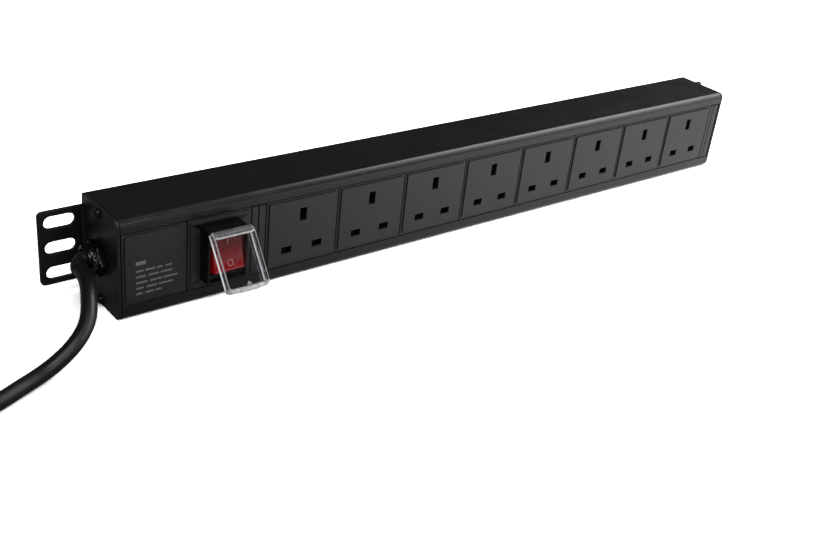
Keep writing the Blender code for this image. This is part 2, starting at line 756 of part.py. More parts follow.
# --- wiring inside ------------------------------------------------------------
def inner_wires():
    def route(*points):
        return spline([Vector(p) * MM for p in points], 14)

    radius = 1.4 * MM
    tube(
        "wire_live",
        route((-254, 20.6, 33.4), (-246, 20.6, 33.6), (-232, 24, 40), (-214, 33, 44), (-200, 31, 40), (-193, 24, 39), (-193, 17.5, 39)),
        radius,
        BROWN,
    )
    tube(
        "wire_neutral",
        route((-254, 20.6, 29.2), (-246, 20.6, 29), (-232, 24, 23), (-214, 33, 20), (-200, 31, 24), (-193, 24, 25), (-193, 17.5, 25)),
        radius,
        BLUE,
    )
    tube(
        "wire_earth",
        route((-254, 24.6, 31.4), (-244, 25, 31.4), (-228, 34, 36), (-205, 39, 45), (-185, 39, 50), (-176, 33, 48), (-172, 28.2, 47.1)),
        radius,
        GREEN,
    )


# --- lead, coil, tie and plug ---------------------------------------------------
LEAD_Z = LEAD / 2 + 0.05 * MM
COIL_LOW = 1.1 * MM  # the coil lies on its tie
COIL_TOP = COIL_LOW + LEAD + 8.9 * MM
OUTER_TURN = COIL_RADIUS + COIL_PITCH
CLEAR_OF_COIL = 31.8 * MM  # along the tangent, where the lead's side meets the ring's


def lead_run():
    """The lead from the strain relief down to the surface and along it to the coil's outer turn."""
    points, heading = boot_line()
    start = points[-1] + heading * GAP
    cx, cy = COIL_CENTRE
    entry = Vector((cx + CLEAR_OF_COIL, cy - OUTER_TURN, LEAD_Z + 0.6 * MM))
    controls = [start, start + heading * 4.5 * MM, start + heading * 10.2 * MM]
    controls += [
        Vector(p) * MM
        for p in (
            (-285.0, -15.2, 27.3),
            (-290.0, -24.3, 20.9),
            (-302.6, -33.5, 14.8),
            (-317.7, -35.0, 6.2),
            (-335.2, -41.3, 5.2),
        )
    ]
    controls += [entry + Vector((15 * MM, 0.6 * MM, -0.4 * MM)), entry + Vector((7 * MM, 0, -0.2 * MM)), entry]
    tube("lead_run", spline(controls, 32), LEAD / 2, PVC)


def lead_coil():
    """The outer shape of the coiled lead, two layers of three turns, as a turned ring."""
    cx, cy = COIL_CENTRE
    half = LEAD / 2
    inner, outer = COIL_RADIUS - COIL_PITCH - half, OUTER_TURN + half
    soft = 2.4 * MM
    section = [
        (COIL_LOW, inner + soft),
        (COIL_LOW, outer - soft),
        (COIL_LOW + soft, outer),
        (COIL_TOP - soft, outer),
        (COIL_TOP, outer - soft),
        (COIL_TOP, inner + soft),
        (COIL_TOP - soft, inner),
        (COIL_LOW + soft, inner),
    ]
    ring = turned(section, 40)
    stand = Matrix.Rotation(-math.pi / 2, 4, "Y")
    bmesh.ops.transform(ring, matrix=stand, verts=ring.verts)
    place("lead_coil", mesh_of(ring, "lead_coil"), PVC, (cx, cy, 0.0))


def coil_tie():
    """A hook-and-loop strap round the coil, at its side nearest the strip."""
    cx, cy = COIL_CENTRE
    width = 2 * COIL_PITCH + LEAD + 1.6 * MM
    low, high = 0.85 * MM, COIL_TOP + 0.35 * MM
    middle = (COIL_RADIUS + 0.1 * MM, (low + high) / 2)
    outer = prism(rounded(width + 1.6 * MM, high - low + 1.6 * MM, 2.4 * MM, 3, middle), -6 * MM, 6 * MM, "Y")
    inner = prism(rounded(width, high - low, 1.6 * MM, 3, middle), -9 * MM, 9 * MM, "Y")
    place("coil_tie", mesh_of(cut(outer, inner), "coil_tie"), INNER, (cx, cy, 0.0), (0.0, 0.0, math.radians(35)))


PLUG_X = COIL_CENTRE[0] - OUTER_TURN
PLUG_Y = COIL_CENTRE[1] + 57.0 * MM  # where the lead enters the plug
PLUG_ENTRY_Z = 10.5 * MM
PLUG_SPLIT = 12.6 * MM
PLUG_FACE = 20.5 * MM


def lead_tail():
    """The last of the lead, from the coil's upper layer into the plug."""
    cx, cy = COIL_CENTRE
    start_z = COIL_TOP - LEAD / 2 - 1.2 * MM
    controls = [
        (PLUG_X, cy + CLEAR_OF_COIL, start_z),
        (PLUG_X, cy + CLEAR_OF_COIL + 5 * MM, start_z - 0.6 * MM),
        (PLUG_X, cy + CLEAR_OF_COIL + 12 * MM, start_z - 1.6 * MM),
        (PLUG_X, PLUG_Y - 8 * MM, PLUG_ENTRY_Z),
        (PLUG_X, PLUG_Y - GAP, PLUG_ENTRY_Z),
    ]
    tube("lead_tail", spline([Vector(p) for p in controls], 7), LEAD / 2, PVC)


def plug():
    """A rewirable 13 A plug on its back, pins up, with the lead entering along +Y."""
    earth = 35.0 * MM
    line = earth - PIN_SPACING

    def outline(grow):
        points = [(-7.5 * MM, 0.0), (7.5 * MM, 0.0), (18.0 * MM - grow, 3.5 * MM)]
        points += arc((20.0 * MM - grow, 8.5 * MM), 4.5 * MM, -60, 0, 3)
        points += arc((17.5 * MM - grow, 38.0 * MM), 7.0 * MM, 0, 80, 4)
        points += arc((-17.5 * MM + grow, 38.0 * MM), 7.0 * MM, 100, 180, 4)
        points += arc((-20.0 * MM + grow, 8.5 * MM), 4.5 * MM, 180, 240, 3)
        points += [(-18.0 * MM + grow, 3.5 * MM)]
        return points

    at = (PLUG_X, PLUG_Y, 0.0)
    rings = [
        [(u, v, 0.05 * MM) for u, v in outline(2.2 * MM)],
        [(u, v, 2.5 * MM) for u, v in outline(0.6 * MM)],
        [(u, v, PLUG_SPLIT) for u, v in outline(0.0)],
    ]
    place("plug_cover", mesh_of(loft(rings), "plug_cover"), MOULDED, at)
    base = prism(outline(0.0), PLUG_SPLIT + GAP, PLUG_FACE, "Z")
    pins = {
        "plug_pin_earth": (0.0, earth, 3.975 * MM, 7.925 * MM, 22.7 * MM),
        "plug_pin_live": (-PIN_SPACING / 2, line, 6.35 * MM, 3.975 * MM, 17.7 * MM),
        "plug_pin_neutral": (PIN_SPACING / 2, line, 6.35 * MM, 3.975 * MM, 17.7 * MM),
    }
    wells = []
    for x, y, w, h, _ in pins.values():
        w, h = w / 2 + GAP, h / 2 + GAP
        wells.append(box((x - w, y - h, PLUG_FACE - 4.3 * MM), (x + w, y + h, PLUG_FACE + 3 * MM)))
    place("plug_base", mesh_of(cut(base, *wells), "plug_base"), MOULDED, at)
    for name, (x, y, w, h, length) in pins.items():
        top = PLUG_FACE + length

        def ring(z, inset):
            return [(x + u, y + v, z) for u, v in rounded(w - 2 * inset, h - 2 * inset, 0.3 * MM, 1)]

        shape = loft([ring(PLUG_FACE - 4.0 * MM, 0.0), ring(top - 1.4 * MM, 0.0), ring(top, 0.9 * MM)])
        place(name, mesh_of(shape, name), BRASS, at)


housing()
end_bracket("end_bracket_left", -1)
end_bracket("end_bracket_right", 1)
end_screws()
label_module()
switch_module()
filler_strips()
sockets()
busbars()
switch_body()
rocker()
switch_cover()
gland()
strain_relief()
inner_wires()
lead_run()
lead_coil()
coil_tie()
lead_tail()
plug()
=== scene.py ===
"""The looks of the rack power strip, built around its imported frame. Metres, +Z up."""

import math

import bmesh
import bpy
from mathutils import Matrix, Vector

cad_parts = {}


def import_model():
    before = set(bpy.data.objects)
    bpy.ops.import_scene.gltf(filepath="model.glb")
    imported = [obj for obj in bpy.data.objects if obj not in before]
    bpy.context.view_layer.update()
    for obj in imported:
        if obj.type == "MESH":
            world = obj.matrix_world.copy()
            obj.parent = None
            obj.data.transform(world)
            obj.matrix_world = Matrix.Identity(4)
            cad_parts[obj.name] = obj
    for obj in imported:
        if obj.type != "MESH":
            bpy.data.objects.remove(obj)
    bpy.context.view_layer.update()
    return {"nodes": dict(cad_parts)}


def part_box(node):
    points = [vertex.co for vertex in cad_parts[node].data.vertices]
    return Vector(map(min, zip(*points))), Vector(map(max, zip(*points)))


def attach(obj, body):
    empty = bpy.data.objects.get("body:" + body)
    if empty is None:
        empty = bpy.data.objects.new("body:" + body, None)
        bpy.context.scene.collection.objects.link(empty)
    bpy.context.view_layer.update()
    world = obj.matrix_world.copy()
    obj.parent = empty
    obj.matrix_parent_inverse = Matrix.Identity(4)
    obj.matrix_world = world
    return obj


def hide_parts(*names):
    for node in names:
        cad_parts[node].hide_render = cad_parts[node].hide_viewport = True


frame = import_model()

MM = 0.001
GAP = 0.3 * MM
PLATE_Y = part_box("socket_face_1")[0].y  # plane of the raised plates
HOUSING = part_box("housing_extrusion")
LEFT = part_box("end_bracket_left")
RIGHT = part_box("end_bracket_right")
BODY_HEIGHT = HOUSING[1].z
BODY_FRONT = HOUSING[0].y - PLATE_Y
BODY_REAR = HOUSING[1].y - PLATE_Y
HALF = HOUSING[1].x
INNER_X = HALF + GAP
END_X = INNER_X + 2.0 * MM
PLATE_Z = 31.5 * MM
PIN_Z = 19.9 * MM
PIN_SPACING = 22.2 * MM
SWITCH = Vector((-197.85, 0.0, 31.85)) * MM
COVER_PIVOT = (-11.5 * MM, 47.8 * MM)
GLAND = (22.3 * MM, 31.4 * MM)
LEAD = 8.8 * MM
COIL = (-398.8 * MM, 4.0 * MM)


# --- camera -------------------------------------------------------------------
def camera():
    data = bpy.data.cameras.new("camera")
    data.sensor_fit = "HORIZONTAL"
    data.sensor_width = 36.0
    data.lens = 49.423
    data.shift_x = -0.01454
    data.shift_y = 0.02503
    data.clip_start, data.clip_end = 0.02, 50.0
    obj = bpy.data.objects.new("camera", data)
    bpy.context.scene.collection.objects.link(obj)
    right = Vector((0.77580006, -0.62149976, 0.10896014))
    up = Vector((0.23682019, 0.44686067, 0.86268867))
    back = Vector((-0.58485081, -0.64346996, 0.49385822))
    turn = Matrix((right, up, back)).transposed().to_4x4()
    place = Vector((-0.49796, PLATE_Y - 0.51137, 0.34717))
    obj.matrix_world = Matrix.Translation(place) @ turn
    bpy.context.scene.camera = obj


camera()


# --- materials ----------------------------------------------------------------
def socket_of(tree, node_type, **values):
    node = tree.nodes.new(node_type)
    for key, value in values.items():
        setattr(node, key, value)
    return node


def surface(
    name,
    colour,
    roughness,
    metallic=0.0,
    vary=0.18,
    patch=45.0,
    rough_vary=0.06,
    grain=2200.0,
    grain_depth=0.02,
    stretch=(1.0, 1.0, 1.0),
    dust=0.0,
    **sockets,
):
    """A Principled finish whose colour drifts in soft patches, whose gloss is uneven, and whose surface has a fine grain."""
    made = bpy.data.materials.new(name)
    made.use_nodes = True
    tree = made.node_tree
    shader = tree.nodes["Principled BSDF"]
    shader.inputs["Metallic"].default_value = metallic
    for key, value in sockets.items():
        shader.inputs[key.replace("_", " ")].default_value = value
    link = tree.links.new
    coords = socket_of(tree, "ShaderNodeTexCoord")

    patches = socket_of(tree, "ShaderNodeTexNoise")
    patches.inputs["Scale"].default_value = patch
    patches.inputs["Detail"].default_value = 5.0
    patches.inputs["Roughness"].default_value = 0.6
    link(coords.outputs["Object"], patches.inputs["Vector"])
    ramp = socket_of(tree, "ShaderNodeValToRGB")
    ramp.color_ramp.elements[0].position = 0.3
    ramp.color_ramp.elements[1].position = 0.7
    ramp.color_ramp.elements[0].color = (*[c * (1 - vary) for c in colour], 1.0)
    ramp.color_ramp.elements[1].color = (*[min(1.0, c * (1 + vary)) for c in colour], 1.0)
    link(patches.outputs["Fac"], ramp.inputs["Fac"])
    tint = ramp.outputs["Color"]

    mapping = socket_of(tree, "ShaderNodeMapping")
    mapping.inputs["Scale"].default_value = stretch
    link(coords.outputs["Object"], mapping.inputs["Vector"])
    fine = socket_of(tree, "ShaderNodeTexNoise")
    fine.inputs["Scale"].default_value = grain
    fine.inputs["Detail"].default_value = 3.0
    link(mapping.outputs["Vector"], fine.inputs["Vector"])

    if dust:
        specks = socket_of(tree, "ShaderNodeTexNoise")
        specks.inputs["Scale"].default_value = 900.0
        specks.inputs["Detail"].default_value = 4.0
        link(coords.outputs["Object"], specks.inputs["Vector"])
        cut = socket_of(tree, "ShaderNodeMapRange")
        cut.inputs["From Min"].default_value = 0.66
        cut.inputs["From Max"].default_value = 0.8
        cut.inputs["To Max"].default_value = dust
        link(specks.outputs["Fac"], cut.inputs["Value"])
        mix = socket_of(tree, "ShaderNodeMix", data_type="RGBA")
        link(cut.outputs["Result"], mix.inputs[0])
        link(tint, mix.inputs[6])
        mix.inputs[7].default_value = (0.22, 0.22, 0.22, 1.0)
        tint = mix.outputs[2]
    link(tint, shader.inputs["Base Color"])

    smear = socket_of(tree, "ShaderNodeTexNoise")
    smear.inputs["Scale"].default_value = patch * 2.3
    smear.inputs["Detail"].default_value = 6.0
    link(coords.outputs["Object"], smear.inputs["Vector"])
    gloss = socket_of(tree, "ShaderNodeMapRange")
    gloss.inputs["From Min"].default_value = 0.3
    gloss.inputs["From Max"].default_value = 0.7
    gloss.inputs["To Min"].default_value = max(0.0, roughness - rough_vary)
    gloss.inputs["To Max"].default_value = min(1.0, roughness + rough_vary)
    link(smear.outputs["Fac"], gloss.inputs["Value"])
    link(gloss.outputs["Result"], shader.inputs["Roughness"])

    bump = socket_of(tree, "ShaderNodeBump")
    bump.inputs["Strength"].default_value = 1.0
    bump.inputs["Distance"].default_value = grain_depth * MM
    link(fine.outputs["Fac"], bump.inputs["Height"])
    link(bump.outputs["Normal"], shader.inputs["Normal"])
    return made


def striped(name, base, stripe, across, pitch, share, roughness):
    """Plastic in a base colour with an even stripe along it, as on earth wire."""
    made = surface(name, base, roughness, vary=0.08, grain=1500.0, grain_depth=0.01)
    tree = made.node_tree
    coords = socket_of(tree, "ShaderNodeTexCoord")
    split = socket_of(tree, "ShaderNodeSeparateXYZ")
    tree.links.new(coords.outputs["Object"], split.inputs["Vector"])
    wave = socket_of(tree, "ShaderNodeMath", operation="PINGPONG")
    wave.inputs[1].default_value = pitch
    tree.links.new(split.outputs[across], wave.inputs[0])
    edge = socket_of(tree, "ShaderNodeMath", operation="GREATER_THAN")
    edge.inputs[1].default_value = pitch * (1 - share)
    tree.links.new(wave.outputs[0], edge.inputs[0])
    mix = socket_of(tree, "ShaderNodeMix", data_type="RGBA")
    shader = tree.nodes["Principled BSDF"]
    old = shader.inputs["Base Color"].links[0].from_socket
    tree.links.new(edge.outputs[0], mix.inputs[0])
    tree.links.new(old, mix.inputs[6])
    mix.inputs[7].default_value = (*stripe, 1.0)
    tree.links.new(mix.outputs[2], shader.inputs["Base Color"])
    return made


def woven(name, colour):
    """Hook-and-loop webbing: one set of diagonal ribs over a fuzzy ground."""
    made = surface(name, colour, 0.85, vary=0.3, patch=180.0, grain=5200.0, grain_depth=0.12, Sheen_Weight=0.35)
    tree = made.node_tree
    shader = tree.nodes["Principled BSDF"]
    coords = socket_of(tree, "ShaderNodeTexCoord")
    first = socket_of(tree, "ShaderNodeTexWave", wave_type="BANDS", bands_direction="DIAGONAL")
    first.inputs["Scale"].default_value = 420.0
    first.inputs["Distortion"].default_value = 0.6
    tree.links.new(coords.outputs["Object"], first.inputs["Vector"])
    bump = socket_of(tree, "ShaderNodeBump")
    bump.inputs["Strength"].default_value = 0.8
    bump.inputs["Distance"].default_value = 0.15 * MM
    tree.links.new(first.outputs["Fac"], bump.inputs["Height"])
    tree.links.new(shader.inputs["Normal"].links[0].from_socket, bump.inputs["Normal"])
    tree.links.new(bump.outputs["Normal"], shader.inputs["Normal"])
    return made


def glowing(name, colour, deep):
    """Red rocker plastic, lit a little from behind, with painted shade that darkens it, and its glow, towards its top.
    """
    made = surface(name, colour, 0.22, vary=0.10, patch=120.0, rough_vary=0.04, grain=1400.0, grain_depth=0.006,
                   Coat_Weight=0.4, Coat_Roughness=0.08, Subsurface_Weight=0.25)
    tree = made.node_tree
    shader = tree.nodes["Principled BSDF"]
    shader.inputs["Subsurface Radius"].default_value = (0.004, 0.0006, 0.0005)
    shader.inputs["Subsurface Scale"].default_value = 1.0
    coords = socket_of(tree, "ShaderNodeTexCoord")
    split = socket_of(tree, "ShaderNodeSeparateXYZ")
    tree.links.new(coords.outputs["Object"], split.inputs["Vector"])
    # Painted shade: colour and glow blend to the darker colour towards the top of the rocker.
    height = socket_of(tree, "ShaderNodeMapRange")
    height.inputs["From Min"].default_value = -9.5 * MM
    height.inputs["From Max"].default_value = 9.5 * MM
    tree.links.new(split.outputs["Z"], height.inputs["Value"])
    mix = socket_of(tree, "ShaderNodeMix", data_type="RGBA")
    old = shader.inputs["Base Color"].links[0].from_socket
    tree.links.new(height.outputs["Result"], mix.inputs[0])
    tree.links.new(old, mix.inputs[6])
    mix.inputs[7].default_value = (*deep, 1.0)
    tree.links.new(mix.outputs[2], shader.inputs["Base Color"])
    tree.links.new(mix.outputs[2], shader.inputs["Emission Color"])
    shader.inputs["Emission Strength"].default_value = 0.12
    return made


def clear(name, tint, roughness, grain_depth, share, transmission=1.0, vary=0.01, patch=60.0):
    """Thin clear plastic: part of the light passes straight through, so that its flat faces mirror only a little."""
    made = surface(name, tint, roughness, vary=vary, patch=patch, rough_vary=min(roughness, 0.02),
                   grain=900.0, grain_depth=grain_depth, Transmission_Weight=transmission, IOR=1.49)
    tree = made.node_tree
    through = tree.nodes.new("ShaderNodeBsdfTransparent")
    through.inputs["Color"].default_value = (0.90, 0.91, 0.92, 1.0)
    mix = tree.nodes.new("ShaderNodeMixShader")
    mix.inputs["Fac"].default_value = share
    tree.links.new(through.outputs[0], mix.inputs[1])
    tree.links.new(tree.nodes["Principled BSDF"].outputs[0], mix.inputs[2])
    tree.links.new(mix.outputs[0], tree.nodes["Material Output"].inputs["Surface"])
    return made


ANODISED = surface("anodised_black", (0.0075, 0.0076, 0.0085), 0.29, metallic=0.0, vary=0.15, patch=22.0,
                   rough_vary=0.03, grain=3000.0, grain_depth=0.006, stretch=(0.02, 1.0, 1.0), Specular_IOR_Level=0.55)
COATED = surface("powder_coat_black", (0.009, 0.009, 0.0095), 0.42, vary=0.2, patch=60.0,
                 grain=1700.0, grain_depth=0.035, Specular_IOR_Level=0.5)
SCREW = surface("black_zinc", (0.02, 0.02, 0.021), 0.22, metallic=0.6, vary=0.2, grain=1200.0, grain_depth=0.01)
MOULDED = surface("module_charcoal", (0.026, 0.026, 0.029), 0.40, vary=0.10, patch=55.0, rough_vary=0.04,
                  grain=2600.0, grain_depth=0.02, Specular_IOR_Level=0.5)
# Painted shade: the modules' sides and the walls of their openings, far darker than their faces.
SIDE_SHADE = surface("module_painted_side_shade", (0.005, 0.005, 0.0055), 0.55, vary=0.15, patch=55.0, grain=2600.0, grain_depth=0.02)
COLLAR = surface("collar_black", (0.0022, 0.0022, 0.0024), 0.3, vary=0.1, grain=2200.0, grain_depth=0.01,
                 Specular_IOR_Level=0.38)
INNER = surface("inner_black", (0.0025, 0.0025, 0.0025), 0.6, vary=0.15, grain=2000.0, grain_depth=0.02)
# Its second colour is painted shade, darkening the rocker towards its top.
RED = glowing("rocker_red", (0.34, 0.003, 0.008), (0.13, 0.007, 0.006))
# Painted highlight: the light pink of a strip along the rocker's bottom edge.
ROCKER_EDGE_HIGHLIGHT = surface("rocker_painted_edge_highlight", (0.62, 0.16, 0.18), 0.3, vary=0.15, patch=300.0, grain=1500.0, grain_depth=0.01)
INK = surface("print_grey", (0.22, 0.22, 0.235), 0.6, vary=0.15, patch=400.0, grain=3000.0, grain_depth=0.01)
WHITE_INK = surface("mark_white", (0.62, 0.42, 0.42), 0.45, vary=0.05, patch=300.0, grain=3000.0, grain_depth=0.005)
CLEAR = clear("cover_clear", (0.97, 0.985, 0.99), 0.03, 0.004, 0.10)
# Painted reflection: semi-opaque grey over the cover's curved top.
COVER_TOP_REFLECTION = clear("cover_painted_top_reflection", (0.25, 0.255, 0.26), 0.25, 0.05, 0.5, transmission=0.45, vary=0.6, patch=300.0)
FROSTED = clear("cover_frosted", (0.80, 0.81, 0.82), 0.35, 0.1, 0.66, transmission=0.15, vary=0.45, patch=520.0)
# Painted highlights: light grey for the cover's edges, crest and arrowhead.
COVER_EDGE_HIGHLIGHT = surface("cover_painted_edge_highlight", (0.75, 0.76, 0.77), 0.25, vary=0.15, patch=300.0, grain=1200.0, grain_depth=0.02,
               Transmission_Weight=0.3, IOR=1.45)
# Painted highlight: glowing white for the rear rims of the cover's side walls.
COVER_RIM_HIGHLIGHT = surface("cover_painted_rim_highlight", (0.95, 0.95, 0.95), 0.3, vary=0.05, patch=300.0, grain=1200.0, grain_depth=0.02,
              Emission_Color=(1.0, 1.0, 1.0, 1.0), Emission_Strength=0.22)
STEEL = surface("pin_steel", (0.55, 0.55, 0.56), 0.28, metallic=1.0, vary=0.06, grain=2500.0, grain_depth=0.01,
                stretch=(0.1, 1.0, 1.0))
BRASS = surface("brass", (0.70, 0.50, 0.21), 0.26, metallic=1.0, vary=0.10, patch=90.0, grain=1800.0,
                grain_depth=0.008)
RUBBER = surface("rubber_black", (0.009, 0.009, 0.0098), 0.45, vary=0.15, patch=70.0, grain=1900.0, grain_depth=0.02)
NYLON = surface("nylon_black", (0.0035, 0.0035, 0.0038), 0.15, vary=0.15, patch=80.0, rough_vary=0.03,
                grain=1200.0, grain_depth=0.01)
PVC = surface("lead_sheath", (0.007, 0.0073, 0.009), 0.36, vary=0.15, patch=60.0, rough_vary=0.05,
              grain=1500.0, grain_depth=0.02)
BROWN = surface("wire_brown", (0.16, 0.06, 0.02), 0.45, vary=0.08, grain=1500.0, grain_depth=0.01)
BLUE = surface("wire_blue", (0.02, 0.10, 0.42), 0.45, vary=0.08, grain=1500.0, grain_depth=0.01)
GREEN = striped("wire_green_yellow", (0.10, 0.34, 0.06), (0.75, 0.62, 0.05), "Z", 0.0022, 0.4, 0.45)
STRAP = woven("strap_black", (0.016, 0.016, 0.017))
PLUG = surface("plug_black", (0.012, 0.012, 0.013), 0.3, vary=0.12, patch=60.0, grain=1500.0, grain_depth=0.012)


# --- shape helpers ------------------------------------------------------------
def arc(centre, radius, start, end, steps):
    points = []
    for i in range(steps + 1):
        angle = math.radians(start + (end - start) * i / steps)
        points.append((centre[0] + radius * math.cos(angle), centre[1] + radius * math.sin(angle)))
    return points


def rounded(width, height, radius, steps=6, centre=(0.0, 0.0)):
    u, v = width / 2 - radius, height / 2 - radius
    points = []
    for cu, cv, start in ((u, v, 0), (-u, v, 90), (-u, -v, 180), (u, -v, 270)):
        points += arc((centre[0] + cu, centre[1] + cv), radius, start, start + 90, steps)
    return points


def rectangle(width, height, centre=(0.0, 0.0)):
    (u, v), (a, b) = (width / 2, height / 2), centre
    return [(a + u, b + v), (a - u, b + v), (a - u, b - v), (a + u, b - v)]


def stadium(length, width, centre, steps=12):
    half = (length - width) / 2
    return arc((centre[0] + half, centre[1]), width / 2, -90, 90, steps) + arc(
        (centre[0] - half, centre[1]), width / 2, 90, 270, steps
    )


def circle(radius, steps, centre=(0.0, 0.0)):
    return arc(centre, radius, 0, 360 - 360 / steps, steps - 1)


def softened(outline, radius, steps=3):
    """The outline with each sharp corner rounded."""
    points, count = [], len(outline)
    for i in range(count):
        before, here, after = (Vector(outline[(i + k) % count]) for k in (-1, 0, 1))
        a, b = before - here, after - here
        if a.length < 1e-9 or b.length < 1e-9:
            continue
        turn = math.pi - a.angle(b)
        if turn < math.radians(25):
            points.append(tuple(here))
            continue
        back = min(radius * math.tan(turn / 2), 0.45 * a.length, 0.45 * b.length)
        p, q = here + a.normalized() * back, here + b.normalized() * back
        for k in range(steps + 1):
            t = k / steps
            points.append(tuple((1 - t) ** 2 * p + 2 * t * (1 - t) * here + t * t * q))
    return points


AXES = {"X": lambda u, v, w: (w, u, v), "Y": lambda u, v, w: (u, w, v), "Z": lambda u, v, w: (u, v, w)}


def loft(rings, closed=False):
    """A skin through rings of equal length: with flat ends, or closed on itself."""
    bm = bmesh.new()
    rows = [[bm.verts.new(point) for point in ring] for ring in rings]
    pairs = list(zip(rows, rows[1:])) + ([(rows[-1], rows[0])] if closed else [])
    for low, high in pairs:
        for i in range(len(low)):
            j = (i + 1) % len(low)
            bm.faces.new((low[i], low[j], high[j], high[i]))
    if not closed:
        bm.faces.new(rows[0][::-1])
        bm.faces.new(rows[-1])
    bmesh.ops.recalc_face_normals(bm, faces=bm.faces)
    return bm


def prism(outline, low, high, axis):
    return loft([[AXES[axis](u, v, w) for u, v in outline] for w in (low, high)])


def box(low, high):
    (x0, y0, z0), (x1, y1, z1) = low, high
    return prism([(x0, y0), (x1, y0), (x1, y1), (x0, y1)], z0, z1, "Z")


def turned(profile, steps):
    """A solid turned about the X axis from (x, radius) points."""
    bm = bmesh.new()
    rows = []
    for x, radius in profile:
        if radius == 0:
            rows.append([bm.verts.new((x, 0.0, 0.0))] * steps)
        else:
            rows.append([bm.verts.new((x, radius * math.cos(a), radius * math.sin(a)))
                         for a in (2 * math.pi * i / steps for i in range(steps))])
    pairs = list(zip(rows, rows[1:]))
    if all(radius > 0 for _, radius in profile):
        pairs.append((rows[-1], rows[0]))
    for low, high in pairs:
        for i in range(steps):
            j = (i + 1) % steps
            corners = []
            for corner in (low[i], low[j], high[j], high[i]):
                if corner not in corners:
                    corners.append(corner)
            if len(corners) > 2:
                bm.faces.new(corners)
    bmesh.ops.recalc_face_normals(bm, faces=bm.faces)
    return bm


def plate(outlines, low, high, bevel, axis="Y", resolution=2):
    """A plate with rounded edges between two planes across an axis. The first outline is its rim and any others are holes."""
    curve = bpy.data.curves.new("plate", "CURVE")
    curve.dimensions = "2D"
    curve.fill_mode = "BOTH"
    curve.extrude = max(0.0, (high - low) / 2 - bevel)
    curve.bevel_depth = bevel
    curve.bevel_resolution = resolution
    curve.offset = -bevel
    for points in outlines:
        line = curve.splines.new("POLY")
        line.points.add(len(points) - 1)
        for target, (u, v) in zip(line.points, points):
            target.co = (u, v, 0.0, 1.0)
        line.use_cyclic_u = True
    obj = bpy.data.objects.new("plate", curve)
    bpy.context.scene.collection.objects.link(obj)
    graph = bpy.context.evaluated_depsgraph_get()
    graph.update()
    mesh = bpy.data.meshes.new_from_object(obj.evaluated_get(graph))
    bpy.data.objects.remove(obj)
    bpy.data.curves.remove(curve)
    bm = bmesh.new()
    bm.from_mesh(mesh)
    bpy.data.meshes.remove(mesh)
    middle = (low + high) / 2
    for vert in bm.verts:
        u, v, w = vert.co
        vert.co = AXES[axis](u, v, middle + w)
    bmesh.ops.remove_doubles(bm, verts=bm.verts, dist=2e-6)
    bmesh.ops.recalc_face_normals(bm, faces=bm.faces)
    return bm


def joined(*shapes):
    bm = bmesh.new()
    for shape in shapes:
        mesh = bpy.data.meshes.new("part")
        shape.to_mesh(mesh)
        shape.free()
        bm.from_mesh(mesh)
        bpy.data.meshes.remove(mesh)
    return bm


def boolean(base, tool, operation):
    pair = []
    for label, bm in (("base", base), ("tool", tool)):
        bmesh.ops.recalc_face_normals(bm, faces=bm.faces)
        mesh = bpy.data.meshes.new(label)
        bm.to_mesh(mesh)
        bm.free()
        obj = bpy.data.objects.new(label, mesh)
        bpy.context.scene.collection.objects.link(obj)
        pair.append(obj)
    modifier = pair[0].modifiers.new("cut", "BOOLEAN")
    modifier.operation = operation
    modifier.object = pair[1]
    graph = bpy.context.evaluated_depsgraph_get()
    graph.update()
    result = bpy.data.meshes.new_from_object(pair[0].evaluated_get(graph))
    bm = bmesh.new()
    bm.from_mesh(result)
    bpy.data.meshes.remove(result)
    for obj in pair:
        mesh = obj.data
        bpy.data.objects.remove(obj)
        bpy.data.meshes.remove(mesh)
    return bm


def cut(base, *tools):
    return boolean(base, joined(*tools), "DIFFERENCE")


def add(base, *tools):
    return boolean(base, joined(*tools), "UNION")


def mesh_of(bm, name, sharp=50.0):
    bmesh.ops.remove_doubles(bm, verts=bm.verts, dist=1e-7)
    bmesh.ops.recalc_face_normals(bm, faces=bm.faces)
    mesh = bpy.data.meshes.new(name)
    bm.to_mesh(mesh)
    bm.free()
    mesh.shade_smooth()
    mesh.set_sharp_from_angle(angle=math.radians(sharp))
    return mesh


def place(name, shape, finish, stands_for=(), slot=None, body="strip", at=(0.0, 0.0, 0.0), turn=(0.0, 0.0, 0.0), bevel=0.0, sharp=50.0):
    """Adds a piece. Its place along Y counts from the raised plates."""
    mesh = mesh_of(shape, name, sharp) if isinstance(shape, bmesh.types.BMesh) else shape
    finishes = finish if isinstance(finish, (list, tuple)) else [finish]
    if not mesh.materials:
        for each in finishes:
            mesh.materials.append(each)
    obj = bpy.data.objects.new(name, mesh)
    bpy.context.scene.collection.objects.link(obj)
    obj.location = (at[0], PLATE_Y + at[1], at[2])
    obj.rotation_euler = turn
    if bevel:
        edge = obj.modifiers.new("edges", "BEVEL")
        edge.width = bevel
        edge.segments = 3
        edge.limit_method = "ANGLE"
        edge.angle_limit = math.radians(35)
        edge.harden_normals = False
    weight = obj.modifiers.new("normals", "WEIGHTED_NORMAL")
    weight.keep_sharp = True
    weight.weight = 80
    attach(obj, body)
    if stands_for:
        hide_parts(*([stands_for] if isinstance(stands_for, str) else stands_for))
    return obj


